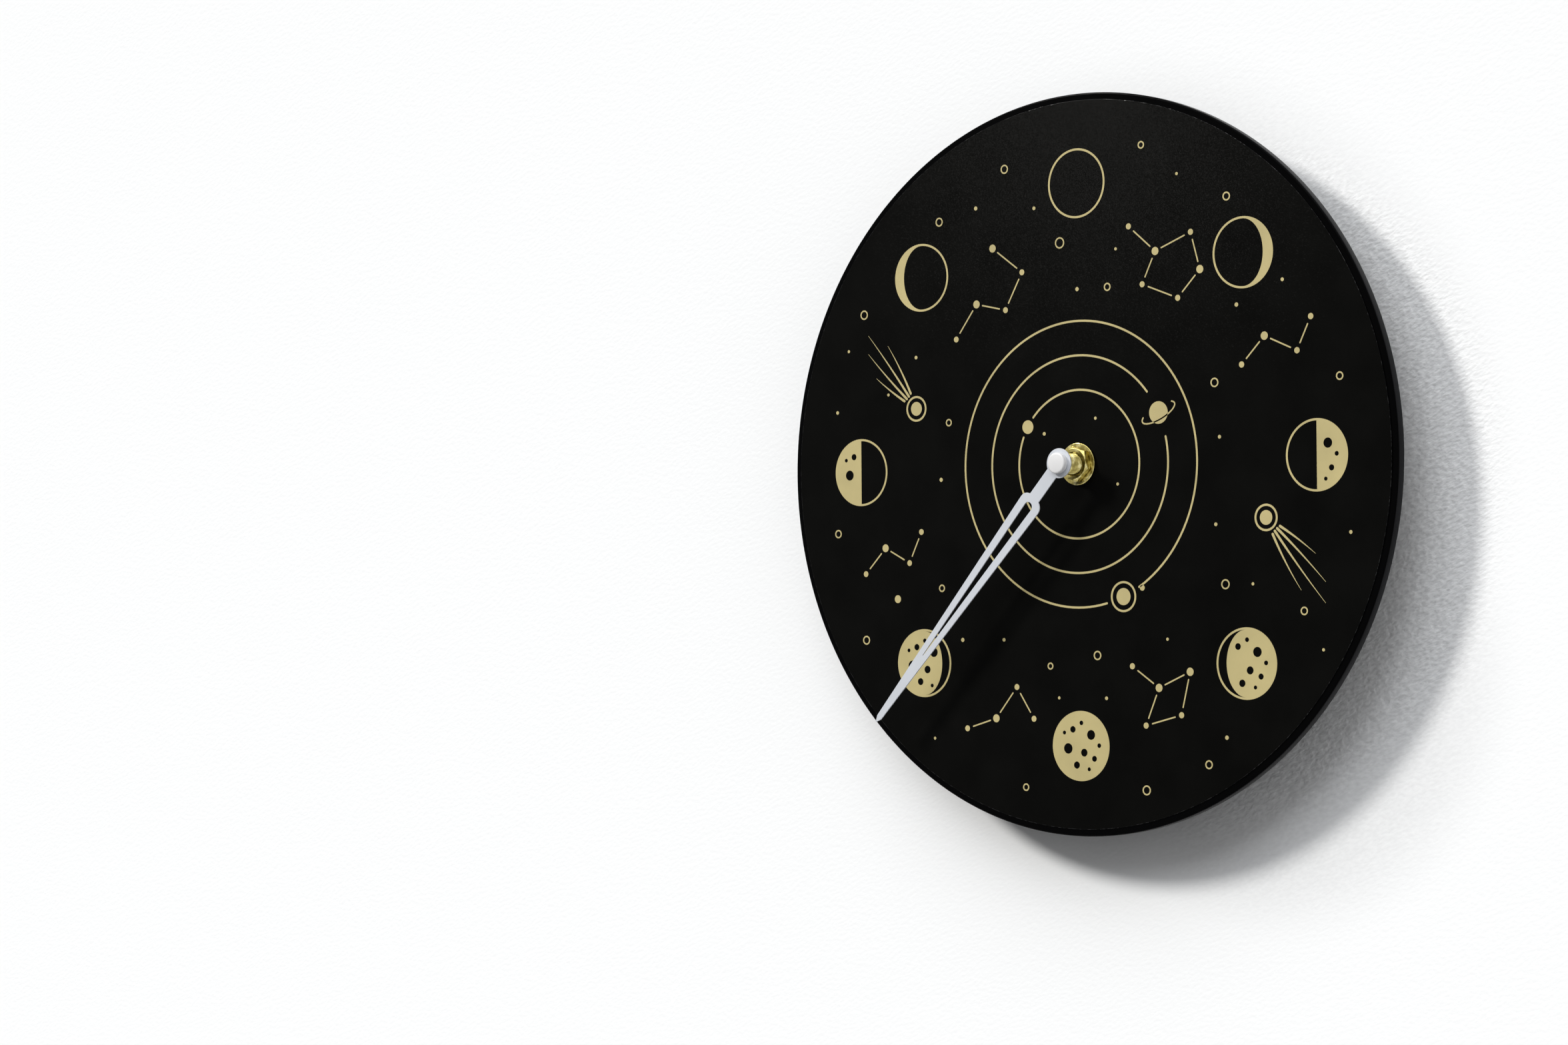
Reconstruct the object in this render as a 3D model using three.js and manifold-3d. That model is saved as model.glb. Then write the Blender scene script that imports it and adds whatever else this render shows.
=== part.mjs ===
// A wall clock with one hand that turns once in a lunar month: a thin round dial, clamped to a quartz
// movement that hangs on a nail. All sizes are millimetres.
// The clock is drawn as the viewer sees it: x to the right, y up and z out of the wall, which is z = 0.
// The last lines stand it upright, so that z is up and the dial faces -y.

import * as THREE from 'three';
import { mergeVertices } from 'three/addons/utils/BufferGeometryUtils.js';
import Module from 'manifold-3d';

const wasm = await Module();
wasm.setup();

// Face
const BODY_DIAMETER = 280;
const BODY_THICKNESS = 4;
const BODY_EDGE_RADIUS = 0.9;
const BODY_BORDER = 2.7;
const DIAL_THICKNESS = 0.5;
const GASKET_DIAMETER = 22;
const GASKET_THICKNESS = 1;

// Brass clamp at the centre
const THREAD_DIAMETER = 8;
const THREAD_CLEARANCE = 0.15;
const BUSHING_REACH = 11.75;
const BUSHING_END_CHAMFER = 0.4;
const BUSHING_FLANGE_DIAMETER = 12;
const BUSHING_FLANGE_THICKNESS = 1;
const WASHER_DIAMETER = 16;
const WASHER_THICKNESS = 1;
const WASHER_EDGE = 0.3;
const NUT_ACROSS_FLATS = 12;
const NUT_THICKNESS = 2.7;
const NUT_CHAMFER = 0.45;
const NUT_TURN = 42.9;
const NUT_SIDES = 6;

// Hand, from the centre out to the tip, and its clock angle clockwise from twelve
const HAND_ANGLE = 222.5;
const HAND_LENGTH = 132.35;
const HAND_THICKNESS = 0.5;
const HAND_GAP = 0.24;
const HAND_BOSS_DIAMETER = 11.2;
const HAND_STEM_WIDTH = 5.2;
const HAND_STEM_LENGTH = 17.3;
const HAND_SHOULDER_RADIUS = 3.5;
const HAND_BLADE_WIDTH = 10.34;
const HAND_POINT_WIDTH = 2.44;
const HAND_POINT_LENGTH = 2.35;
const HAND_SLOT_START = 19.8;
const HAND_SLOT_LENGTH = 77.7;
const HAND_SLOT_WIDTH = 3.74;
const HAND_SLOT_END_WIDTH = 0.3;
const COLLET_DIAMETER = 4.8;
const CAP_DIAMETER = 8;
const CAP_HEIGHT = 2.07;
const CAP_EDGE_RADIUS = 0.7;
const CAP_WALL = 0.7;

// Arbors and pivots
const ARBOR_DIAMETER = 3;
const ARBOR_PIVOT_DIAMETER = 1.6;
const ARBOR_PIVOT_LENGTH = 0.9;
const SET_ARBOR_DIAMETER = 1.8;
const SET_PIVOT_DIAMETER = 1;
const SET_PIVOT_DEPTH = 0.8;
const WHEEL_SHAFT_DIAMETER = 1.4;
const PIVOT_DIAMETER = 0.8;
const PIVOT_LENGTH = 1.1;
const RUNNING_CLEARANCE = 0.08;
const END_SHAKE = 0.1;
const SEAT_GAP = 0.05;

// Gears: every pinion has the same number of leaves and drives the next, slower wheel
const GEAR_MODULE = 0.35;
const PRESSURE_ANGLE = THREE.MathUtils.degToRad(28);
const ADDENDUM = 0.8;
const DEDENDUM = 1.05;
const TOOTH_THINNING = 0.05;
const CENTRE_SLACK = 0.05;
const PINION_TEETH = 8;
const MOON_WHEEL_TEETH = 59;
const DRIVE_WHEEL_TEETH = 64;
const THIRD_WHEEL_TEETH = 60;
const SECOND_WHEEL_TEETH = 60;
const FIRST_WHEEL_TEETH = 48;
const WHEEL_THICKNESS = 1;
const MOON_WHEEL_THICKNESS = 1.2;
const LAYER_GAP = 0.4;
const PINION_OVERLAP = 0.05;
const WHEEL_CLEARANCE = 0.7;

// Directions from each arbor to the next, in degrees
const HAND_TO_SET = 29.5;
const SET_TO_THIRD = 137;
const THIRD_TO_SECOND = 200;
const SECOND_TO_FIRST = 262;
const FIRST_TO_ROTOR = 150;

// Friction clutch on the setting arbor
const CLUTCH_SHOULDER_DIAMETER = 4.4;
const CLUTCH_SHOULDER_THICKNESS = 0.25;
const CLUTCH_WASHER_DIAMETER = 4.4;
const CLUTCH_WASHER_THICKNESS = 0.25;
const CLUTCH_COLLAR_DIAMETER = 3;
const CLUTCH_COLLAR_THICKNESS = 0.35;

// Setting knob at the back
const KNOB_DIAMETER = 12;
const KNOB_THICKNESS = 2.4;
const KNOB_RECESS = 0.4;
const KNOB_CLEARANCE = 0.8;
const KNOB_RIDGES = 24;
const KNOB_RIDGE_DEPTH = 0.35;
const KNOB_SOCKET_DEPTH = 1.8;
const KNOB_CUP_WALL = 1;

// Movement case
const CASE_WALL = 1.4;
const CASE_CORNER_RADIUS = 2;
const COVER_THICKNESS = 1.4;
const COVER_CLEARANCE = 0.1;
const BRIDGE_THICKNESS = 1;
const BRIDGE_MARGIN = 1;
const PARTITION_THICKNESS = 1.2;
const PILLAR_DIAMETER = 3.8;
const PILLAR_FOOT_DIAMETER = 5.2;
const PILLAR_INSET = 3.6;
const BEARING_DIAMETER = 3.2;
const BEARING_HEIGHT = 3.2;
const ROTOR_BEARING_HEIGHT = 0.7;
const STAKE_POST_DIAMETER = 2.6;
const STAKE_DIAMETER = 1.2;
const STAKE_HEAD = 0.4;
const FINGER_NOTCH_WIDTH = 18;
const FINGER_NOTCH_DEPTH = 5;

// Screws
const COVER_SCREW_HEAD_DIAMETER = 3.8;
const COVER_SCREW_SINK = 0.15;
const COVER_SCREW_DIAMETER = 1.7;
const COVER_SCREW_LENGTH = 7;
const SCREW_CLEARANCE = 0.1;
const SCREW_SLOT_WIDTH = 0.6;
const SCREW_SLOT_DEPTH = 0.5;
const HANGER_SCREW_HEAD_DIAMETER = 4.8;
const HANGER_SCREW_HEAD_HEIGHT = 1.6;
const HANGER_SCREW_DIAMETER = 2.2;
const HANGER_SCREW_LENGTH = 3.4;
const HANGER_BOSS_DIAMETER = 3.6;
const HANGER_BOSS_HEIGHT = 2.4;

// Hanger
const HANGER_THICKNESS = 1.2;
const HANGER_WIDTH = 22;
const HANGER_SETBACK = 1;
const HANGER_FLANGE_DEPTH = 12;
const HANGER_SCREW_INSET = 3;
const EYE_DIAMETER = 9.2;
const EYE_RISE = 8.5;
const EYE_SLOT_WIDTH = 5.2;
const EYE_SLOT_RISE = 5.4;

// Step motor
const MAGNET_DIAMETER = 4.6;
const MAGNET_THICKNESS = 1.6;
const STATOR_THICKNESS = 1;
const STATOR_HEIGHT = 1.6;
const STATOR_AIR_GAP = 0.4;
const STATOR_WEB = 1.7;
const STATOR_ARM_WIDTH = 4;
const STATOR_ARM_OFFSET = 3.2;
const CORE_WIDTH = 3;
const CORE_THICKNESS = 1;
const CORE_OVERLAP = 1.5;
const BOBBIN_WALL = 0.5;
const BOBBIN_CHEEK = 0.8;
const BOBBIN_WIDTH = 6.8;
const BOBBIN_DEPTH = 4.2;
const WINDING_WIDTH = 6;
const WINDING_DEPTH = 3.6;
const MOTOR_GAP = 0.6;

// Circuit board
const BOARD_THICKNESS = 1;
const BOARD_HEIGHT = 1;
const BOARD_MARGIN = 1.2;
const BOARD_STAKE_INSET = 1.4;
const CHIP_DIAMETER = 6;
const CHIP_HEIGHT = 1.2;
const CHIP_EDGE = 0.7;
const CRYSTAL_DIAMETER = 2;
const CRYSTAL_LENGTH = 6;

// Battery and its contacts
const BATTERY_DIAMETER = 14.5;
const BATTERY_LENGTH = 50.5;
const BATTERY_NUB_DIAMETER = 5.5;
const BATTERY_NUB_LENGTH = 1.2;
const BATTERY_EDGE = 0.5;
const BATTERY_CLEARANCE = 0.4;
const CONTACT_SPACE = 1.3;
const CONTACT_THICKNESS = 0.4;
const CONTACT_WALL_GAP = 0.1;
const CONTACT_TOUCH_GAP = 0.1;
const CONTACT_LEAF_MARGIN = 1.6;
const CONTACT_WIDTH = 8;
const CONTACT_TAIL_WIDTH = 2.2;
const CONTACT_TAIL_HEIGHT = 0.8;
const TAIL_NOTCH_GAP = 0.4;

// Fineness of rounds, and how far a cutter runs past what it cuts
const FACE_SIDES = 80;
const HUB_SIDES = 24;
const PIN_SIDES = 12;
const CURVE_STEPS = 6;
const EDGE_STEPS = 3;
const WHEEL_FLANK_STEPS = 1;
const PINION_FLANK_STEPS = 2;
const CUT_PAST = 1;

// Gear sizes and the places of the arbors
const pitchRadius = (teeth) => teeth * GEAR_MODULE / 2;
const tipRadius = (teeth) => pitchRadius(teeth) + ADDENDUM * GEAR_MODULE;
const centreDistance = (wheelTeeth) => pitchRadius(wheelTeeth) + pitchRadius(PINION_TEETH) + CENTRE_SLACK;

function polar(radius, angle) {
  return new THREE.Vector2(radius * Math.cos(angle), radius * Math.sin(angle));
}

function stepFrom(axis, distance, degrees) {
  return polar(distance, THREE.MathUtils.degToRad(degrees)).add(axis);
}

const handAxis = new THREE.Vector2(0, 0);
const setAxis = stepFrom(handAxis, centreDistance(MOON_WHEEL_TEETH), HAND_TO_SET);
const thirdAxis = stepFrom(setAxis, centreDistance(DRIVE_WHEEL_TEETH), SET_TO_THIRD);
const secondAxis = stepFrom(thirdAxis, centreDistance(THIRD_WHEEL_TEETH), THIRD_TO_SECOND);
const firstAxis = stepFrom(secondAxis, centreDistance(SECOND_WHEEL_TEETH), SECOND_TO_FIRST);
const rotorAxis = stepFrom(firstAxis, centreDistance(FIRST_WHEEL_TEETH), FIRST_TO_ROTOR);

const wheelRims = [
  [handAxis, tipRadius(MOON_WHEEL_TEETH)],
  [setAxis, tipRadius(DRIVE_WHEEL_TEETH)],
  [thirdAxis, tipRadius(THIRD_WHEEL_TEETH)],
  [secondAxis, tipRadius(SECOND_WHEEL_TEETH)],
  [firstAxis, tipRadius(FIRST_WHEEL_TEETH)],
  [rotorAxis, STATOR_ARM_OFFSET + STATOR_ARM_WIDTH / 2 + CONTACT_THICKNESS],
];

// A wheel's tooth gap and a pinion's tooth both lie on the line between their arbors
const lineAngle = (from, to) => Math.atan2(to.y - from.y, to.x - from.x);
const wheelTurn = (wheelAxis, pinionAxis, teeth) => lineAngle(wheelAxis, pinionAxis) - Math.PI / teeth;
const pinionTurn = (wheelAxis, pinionAxis) => lineAngle(pinionAxis, wheelAxis);

// Heights above the wall, from the cover forward
const bearingFront = COVER_THICKNESS + BEARING_HEIGHT;
const knobFront = KNOB_RECESS + KNOB_THICKNESS;
const cupFloorBack = knobFront + KNOB_RECESS;
const cupFloorFront = cupFloorBack + KNOB_CUP_WALL;
const statorBack = COVER_THICKNESS + STATOR_HEIGHT;
const statorFront = statorBack + STATOR_THICKNESS;
const coreMiddle = statorFront + SEAT_GAP + CORE_THICKNESS / 2;
const motorFront = coreMiddle + BOBBIN_DEPTH / 2;
const boardBack = COVER_THICKNESS + BOARD_HEIGHT;
const boardFront = boardBack + BOARD_THICKNESS;
const tailBack = COVER_THICKNESS + CONTACT_TAIL_HEIGHT;
const tailFront = tailBack + CONTACT_TAIL_WIDTH;

// The wheels lie in layers: the first wheel is beside the motor and the others are in front of it
const FIRST_LAYER = 0;
const SECOND_LAYER = 1;
const THIRD_LAYER = 2;
const DRIVE_LAYER = 3;
const layerPitch = WHEEL_THICKNESS + LAYER_GAP;
const trainBack = LAYER_GAP + Math.max(cupFloorFront, bearingFront, motorFront - layerPitch);
const layerBack = (layer) => trainBack + layer * layerPitch;
const bridgeBack = layerBack(DRIVE_LAYER + 1);
const bridgeFront = bridgeBack + BRIDGE_THICKNESS;
const moonWheelBack = bridgeFront + LAYER_GAP;
const moonWheelFront = moonWheelBack + MOON_WHEEL_THICKNESS;
const trainDepth = moonWheelFront + LAYER_GAP + BUSHING_FLANGE_THICKNESS + SEAT_GAP;
const caseInnerFront = Math.max(trainDepth, BATTERY_DIAMETER + 2 * BATTERY_CLEARANCE);
const caseFront = caseInnerFront + CASE_WALL;
const gasketBack = caseFront + SEAT_GAP;
const plateBack = gasketBack + GASKET_THICKNESS + SEAT_GAP;
const plateFront = plateBack + BODY_THICKNESS;
const dialBack = plateFront + SEAT_GAP;
const dialFront = dialBack + DIAL_THICKNESS;
const washerBack = dialFront + SEAT_GAP;
const nutBack = washerBack + WASHER_THICKNESS + SEAT_GAP;
const bushingFront = dialFront + BUSHING_REACH;
const handBack = bushingFront + HAND_GAP;
const handFront = handBack + HAND_THICKNESS;
const capBack = handFront + SEAT_GAP;
const capFront = capBack + CAP_HEIGHT;
const arborFront = capFront - CAP_WALL - SEAT_GAP;
const cupInnerRadius = KNOB_DIAMETER / 2 + KNOB_CLEARANCE;
const cupOuterRadius = cupInnerRadius + KNOB_CUP_WALL;

// Inside of the case: the wheels above the partition and the battery below it
const halfBatterySpace = BATTERY_LENGTH / 2 + CONTACT_SPACE;
const rimReach = wheelRims.map(([axis, radius]) => Math.abs(axis.x) + radius + WHEEL_CLEARANCE);
const innerHalfWidth = Math.max(halfBatterySpace, ...rimReach);
const innerTop = Math.max(...wheelRims.map(([axis, radius]) => axis.y + radius)) + WHEEL_CLEARANCE;
const innerFloor = Math.min(...wheelRims.map(([axis, radius]) => axis.y - radius)) - WHEEL_CLEARANCE;
const bayTop = innerFloor - PARTITION_THICKNESS;
const bayBottom = bayTop - BATTERY_DIAMETER - 2 * BATTERY_CLEARANCE;
const batteryAxisY = (bayTop + bayBottom) / 2;
const batteryAxisZ = BATTERY_DIAMETER / 2 + BATTERY_CLEARANCE;
const caseTop = innerTop + CASE_WALL;
const caseBottom = bayBottom - CASE_WALL;
const caseHalfWidth = innerHalfWidth + CASE_WALL;
const pillarX = innerHalfWidth - PILLAR_INSET;
const pillarTopY = innerTop - PILLAR_INSET - CONTACT_THICKNESS;
const pillarLowY = innerFloor + PILLAR_INSET;
const pillarPlaces = [
  new THREE.Vector2(-pillarX, pillarTopY),
  new THREE.Vector2(pillarX, pillarTopY),
  new THREE.Vector2(pillarX, pillarLowY),
  new THREE.Vector2(-pillarX, pillarLowY),
];

// Motor and board places
const leftArmX = rotorAxis.x - STATOR_ARM_OFFSET;
const rightArmX = (secondAxis.x + thirdAxis.x) / 2;
const coilY = pillarTopY - PILLAR_DIAMETER / 2 - MOTOR_GAP - CORE_WIDTH / 2;
const statorStakes = [
  new THREE.Vector2(rightArmX, rotorAxis.y),
  new THREE.Vector2(leftArmX, (rotorAxis.y + coilY) / 2),
];
const boardLeft = thirdAxis.x + BEARING_DIAMETER / 2 + BOARD_MARGIN;
const boardRight = pillarX - PILLAR_DIAMETER / 2 - BOARD_MARGIN;
const boardBottom = setAxis.y + cupOuterRadius + BOARD_MARGIN;
const boardTop = innerTop - CONTACT_WALL_GAP - CONTACT_THICKNESS - BOARD_MARGIN;
const boardStakes = [
  new THREE.Vector2(boardLeft + BOARD_STAKE_INSET, boardBottom + BOARD_STAKE_INSET),
  new THREE.Vector2(boardRight - BOARD_STAKE_INSET, boardTop - BOARD_STAKE_INSET),
];

// Hanger places
const hangerFlangeY = caseTop + SEAT_GAP;
const eyeY = hangerFlangeY + HANGER_THICKNESS + EYE_RISE;
const hangerScrewX = HANGER_WIDTH / 2 - HANGER_SCREW_INSET;
const hangerScrewPlaces = [-hangerScrewX, hangerScrewX];
const hangerScrewZ = layerBack(THIRD_LAYER) - LAYER_GAP / 2 - HANGER_BOSS_DIAMETER / 2;

// Helpers that make closed bodies

function closed(geometry) {
  geometry.deleteAttribute('normal');
  geometry.deleteAttribute('uv');
  const merged = mergeVertices(geometry);
  const corners = merged.index.array;
  const kept = [];
  for (let i = 0; i < corners.length; i += 3) {
    const [a, b, c] = corners.slice(i, i + 3);
    if (a !== b && b !== c && c !== a) {
      kept.push(a, b, c);
    }
  }
  merged.setIndex(kept);
  return merged;
}

function toSolid(geometry) {
  const vertProperties = new Float32Array(geometry.attributes.position.array);
  const triVerts = new Uint32Array(geometry.index.array);
  return new wasm.Manifold(new wasm.Mesh({ numProp: 3, vertProperties, triVerts }));
}

function toGeometry(solid) {
  const mesh = solid.getMesh();
  const geometry = new THREE.BufferGeometry();
  geometry.setAttribute('position', new THREE.BufferAttribute(mesh.vertProperties, 3));
  geometry.setIndex(new THREE.BufferAttribute(mesh.triVerts, 1));
  return geometry;
}

function join(...pieces) {
  return toGeometry(pieces.map(toSolid).reduce((whole, piece) => whole.add(piece)));
}

function cut(piece, ...cutters) {
  return toGeometry(cutters.map(toSolid).reduce((rest, cutter) => rest.subtract(cutter), toSolid(piece)));
}

function common(first, second) {
  return toGeometry(toSolid(first).intersect(toSolid(second)));
}

// A body turned about z: the profile lists radius and height, counter-clockwise
function turned(profile, sides) {
  const points = profile.map(([radius, height]) => new THREE.Vector2(radius, height));
  return closed(new THREE.LatheGeometry(points, sides).rotateX(Math.PI / 2));
}

function rod(radius, back, front, sides = PIN_SIDES) {
  return turned([[0, back], [radius, back], [radius, front], [0, front]], sides);
}

function ring(inner, outer, back, front, sides = HUB_SIDES) {
  return turned([[inner, back], [outer, back], [outer, front], [inner, front], [inner, back]], sides);
}

function plate(shape, back, front) {
  const options = { depth: front - back, bevelEnabled: false, curveSegments: CURVE_STEPS };
  return closed(new THREE.ExtrudeGeometry(shape, options).translate(0, 0, back));
}

function box(left, right, bottom, top, back, front) {
  const block = new THREE.BoxGeometry(right - left, top - bottom, front - back);
  return closed(block.translate((left + right) / 2, (bottom + top) / 2, (back + front) / 2));
}

function at(place, geometry) {
  return geometry.translate(place.x, place.y, 0);
}

function arc(centreX, centreY, radius, fromDegrees, toDegrees, steps = CURVE_STEPS) {
  const points = [];
  for (let step = 0; step <= steps; step += 1) {
    const degrees = fromDegrees + (toDegrees - fromDegrees) * step / steps;
    const point = polar(radius, THREE.MathUtils.degToRad(degrees));
    points.push([centreX + point.x, centreY + point.y]);
  }
  return points;
}

function circle(place, radius, sides = PIN_SIDES) {
  const points = [];
  for (let side = 0; side < sides; side += 1) {
    points.push(polar(radius, 2 * Math.PI * side / sides).add(place));
  }
  return points;
}

function roundedRectangle(left, right, bottom, top, radius) {
  const corners = [
    ...arc(right - radius, top - radius, radius, 0, 90),
    ...arc(left + radius, top - radius, radius, 90, 180),
    ...arc(left + radius, bottom + radius, radius, 180, 270),
    ...arc(right - radius, bottom + radius, radius, 270, 360),
  ];
  return new THREE.Shape(corners.map(([x, y]) => new THREE.Vector2(x, y)));
}

// A bent strip of even thickness along a line of points
function strip(points, back, front) {
  const half = CONTACT_THICKNESS / 2;
  const left = [];
  const right = [];
  points.forEach((point, i) => {
    const before = points[Math.max(i - 1, 0)];
    const after = points[Math.min(i + 1, points.length - 1)];
    const inward = point.clone().sub(before).normalize();
    const outward = after.clone().sub(point).normalize();
    const along = inward.clone().add(outward).normalize();
    const side = new THREE.Vector2(-along.y, along.x);
    const reach = half / along.dot(i > 0 ? inward : outward);
    left.push(point.clone().addScaledVector(side, reach));
    right.unshift(point.clone().addScaledVector(side, -reach));
  });
  return plate(new THREE.Shape([...left, ...right]), back, front);
}

// Gears with involute teeth

const involute = (angle) => Math.tan(angle) - angle;

function gearShape(teeth, turn, flankSteps) {
  const pitch = pitchRadius(teeth);
  const base = pitch * Math.cos(PRESSURE_ANGLE);
  const root = pitch - DEDENDUM * GEAR_MODULE;
  const tip = tipRadius(teeth);
  const halfTooth = (Math.PI * GEAR_MODULE / 2 - TOOTH_THINNING) / (2 * pitch);
  const halfAngle = (radius) => halfTooth + involute(PRESSURE_ANGLE) - involute(Math.acos(base / radius));
  const start = Math.max(root, base);
  const flank = root < base ? [[root, halfAngle(base)]] : [];
  for (let step = 0; step <= flankSteps; step += 1) {
    const radius = start + (tip - start) * step / flankSteps;
    flank.push([radius, halfAngle(radius)]);
  }
  const points = [];
  for (let tooth = 0; tooth < teeth; tooth += 1) {
    const middle = turn + 2 * Math.PI * tooth / teeth;
    flank.forEach(([radius, half]) => points.push(polar(radius, middle - half)));
    flank.toReversed().forEach(([radius, half]) => points.push(polar(radius, middle + half)));
  }
  return new THREE.Shape(points);
}

function wheelShape(teeth, turn, boreRadius) {
  const shape = gearShape(teeth, turn, WHEEL_FLANK_STEPS);
  if (boreRadius > 0) {
    shape.holes.push(new THREE.Path(circle(handAxis, boreRadius)));
  }
  return shape;
}

function pinion(turn, back, front) {
  return plate(gearShape(PINION_TEETH, turn, PINION_FLANK_STEPS), back, front);
}

function layerPinion(layer, turn) {
  const back = layerBack(layer);
  return pinion(turn, back - PINION_OVERLAP, back + WHEEL_THICKNESS + PINION_OVERLAP);
}

// A shaft with a thin pivot at each end, from its rear bearing to the bridge
function pivotedShaft(rearBearing) {
  const rear = rearBearing + END_SHAKE;
  const front = bridgeBack - END_SHAKE;
  const shaft = rod(WHEEL_SHAFT_DIAMETER / 2, rear, front);
  const pivots = rod(PIVOT_DIAMETER / 2, rear - PIVOT_LENGTH, front + PIVOT_LENGTH - END_SHAKE);
  return join(shaft, pivots);
}

function trainWheel(layer, teeth, turn, turnOfPinion) {
  const back = layerBack(layer);
  const wheel = plate(wheelShape(teeth, turn, 0), back, back + WHEEL_THICKNESS);
  return join(pivotedShaft(bearingFront), wheel, layerPinion(layer + 1, turnOfPinion));
}

// Face and clamp

function bodyPlate() {
  const outer = BODY_DIAMETER / 2;
  const hole = THREAD_DIAMETER / 2 + THREAD_CLEARANCE;
  const edge = BODY_EDGE_RADIUS;
  const profile = [
    [hole, plateBack],
    ...arc(outer - edge, plateBack + edge, edge, -90, 0, EDGE_STEPS),
    ...arc(outer - edge, plateFront - edge, edge, 0, 90, EDGE_STEPS),
    [hole, plateFront],
    [hole, plateBack],
  ];
  return turned(profile, FACE_SIDES);
}

function dialSheet() {
  const hole = THREAD_DIAMETER / 2 + THREAD_CLEARANCE;
  return ring(hole, BODY_DIAMETER / 2 - BODY_BORDER, dialBack, dialFront, FACE_SIDES);
}

function rubberGasket() {
  const hole = THREAD_DIAMETER / 2 + THREAD_CLEARANCE;
  return ring(hole, GASKET_DIAMETER / 2, gasketBack, gasketBack + GASKET_THICKNESS);
}

function threadedBushing() {
  const bore = ARBOR_DIAMETER / 2 + RUNNING_CLEARANCE;
  const thread = THREAD_DIAMETER / 2;
  const flange = BUSHING_FLANGE_DIAMETER / 2;
  const flangeFront = caseInnerFront - SEAT_GAP;
  const flangeBack = flangeFront - BUSHING_FLANGE_THICKNESS;
  const profile = [
    [bore, flangeBack],
    [flange, flangeBack],
    [flange, flangeFront],
    [thread, flangeFront],
    [thread, bushingFront - BUSHING_END_CHAMFER],
    [thread - BUSHING_END_CHAMFER, bushingFront],
    [bore, bushingFront],
    [bore, flangeBack],
  ];
  return turned(profile, HUB_SIDES);
}

function flatWasher() {
  const hole = THREAD_DIAMETER / 2 + THREAD_CLEARANCE;
  const outer = WASHER_DIAMETER / 2;
  const front = washerBack + WASHER_THICKNESS;
  const profile = [
    [hole, washerBack],
    [outer, washerBack],
    [outer, front - WASHER_EDGE],
    [outer - WASHER_EDGE, front],
    [hole, front],
    [hole, washerBack],
  ];
  return turned(profile, HUB_SIDES);
}

function hexNut() {
  const cornerRadius = NUT_ACROSS_FLATS / 2 / Math.cos(Math.PI / NUT_SIDES);
  const corners = [];
  for (let corner = 0; corner < NUT_SIDES; corner += 1) {
    corners.push(polar(cornerRadius, THREE.MathUtils.degToRad(NUT_TURN + 360 * corner / NUT_SIDES)));
  }
  const shape = new THREE.Shape(corners);
  shape.holes.push(new THREE.Path(circle(handAxis, THREAD_DIAMETER / 2 + THREAD_CLEARANCE, HUB_SIDES)));
  const front = nutBack + NUT_THICKNESS;
  const flat = NUT_ACROSS_FLATS / 2;
  const chamfered = turned([
    [0, nutBack],
    [flat, nutBack],
    [cornerRadius, nutBack + NUT_CHAMFER],
    [cornerRadius, front - NUT_CHAMFER],
    [flat, front],
    [0, front],
  ], HUB_SIDES);
  return common(plate(shape, nutBack, front), chamfered);
}

// Hand, drawn pointing up and turned to its clock angle in the assembly

function handOutline() {
  const stem = HAND_STEM_WIDTH / 2;
  const blade = HAND_BLADE_WIDTH / 2;
  const point = HAND_POINT_WIDTH / 2;
  const boss = HAND_BOSS_DIAMETER / 2;
  const shoulderX = blade - HAND_SHOULDER_RADIUS;
  const shoulderStart = Math.asin((stem - shoulderX) / HAND_SHOULDER_RADIUS) - Math.PI / 2;
  const shoulderY = HAND_STEM_LENGTH - HAND_SHOULDER_RADIUS * Math.sin(shoulderStart);
  const pointY = HAND_LENGTH - HAND_POINT_LENGTH;
  const stemAngle = Math.acos(stem / boss);
  const shape = new THREE.Shape();
  shape.absarc(0, 0, boss, Math.PI - stemAngle, stemAngle, false);
  shape.lineTo(stem, HAND_STEM_LENGTH);
  shape.absarc(shoulderX, shoulderY, HAND_SHOULDER_RADIUS, shoulderStart, 0, false);
  shape.lineTo(point, pointY);
  shape.lineTo(0, HAND_LENGTH);
  shape.lineTo(-point, pointY);
  shape.absarc(-shoulderX, shoulderY, HAND_SHOULDER_RADIUS, Math.PI, Math.PI - shoulderStart, false);
  shape.lineTo(-stem, HAND_STEM_LENGTH);
  return shape;
}

function handSlot() {
  const wide = HAND_SLOT_WIDTH / 2;
  const narrow = HAND_SLOT_END_WIDTH / 2;
  const slot = new THREE.Path();
  slot.absarc(0, HAND_SLOT_START + wide, wide, Math.PI, 2 * Math.PI, false);
  slot.lineTo(narrow, HAND_SLOT_START + HAND_SLOT_LENGTH);
  slot.lineTo(-narrow, HAND_SLOT_START + HAND_SLOT_LENGTH);
  return slot;
}

function moonHand() {
  const shape = handOutline();
  shape.holes.push(handSlot());
  shape.holes.push(new THREE.Path(circle(handAxis, COLLET_DIAMETER / 2 + SEAT_GAP, HUB_SIDES)));
  return plate(shape, handBack, handFront);
}

function handCollet() {
  return ring(ARBOR_DIAMETER / 2 + SEAT_GAP, COLLET_DIAMETER / 2, handBack, arborFront);
}

function handCap() {
  const outer = CAP_DIAMETER / 2;
  const bore = COLLET_DIAMETER / 2 + SEAT_GAP;
  const profile = [
    [bore, capBack],
    [outer, capBack],
    ...arc(outer - CAP_EDGE_RADIUS, capFront - CAP_EDGE_RADIUS, CAP_EDGE_RADIUS, 0, 90, EDGE_STEPS),
    [0, capFront],
    [0, capFront - CAP_WALL],
    [bore, capFront - CAP_WALL],
    [bore, capBack],
  ];
  return turned(profile, HUB_SIDES);
}

function handArbor() {
  const shoulder = bridgeFront + END_SHAKE;
  const shaft = rod(ARBOR_DIAMETER / 2, shoulder, arborFront, HUB_SIDES);
  const pivot = rod(ARBOR_PIVOT_DIAMETER / 2, shoulder - ARBOR_PIVOT_LENGTH, arborFront);
  return join(shaft, pivot);
}

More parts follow.
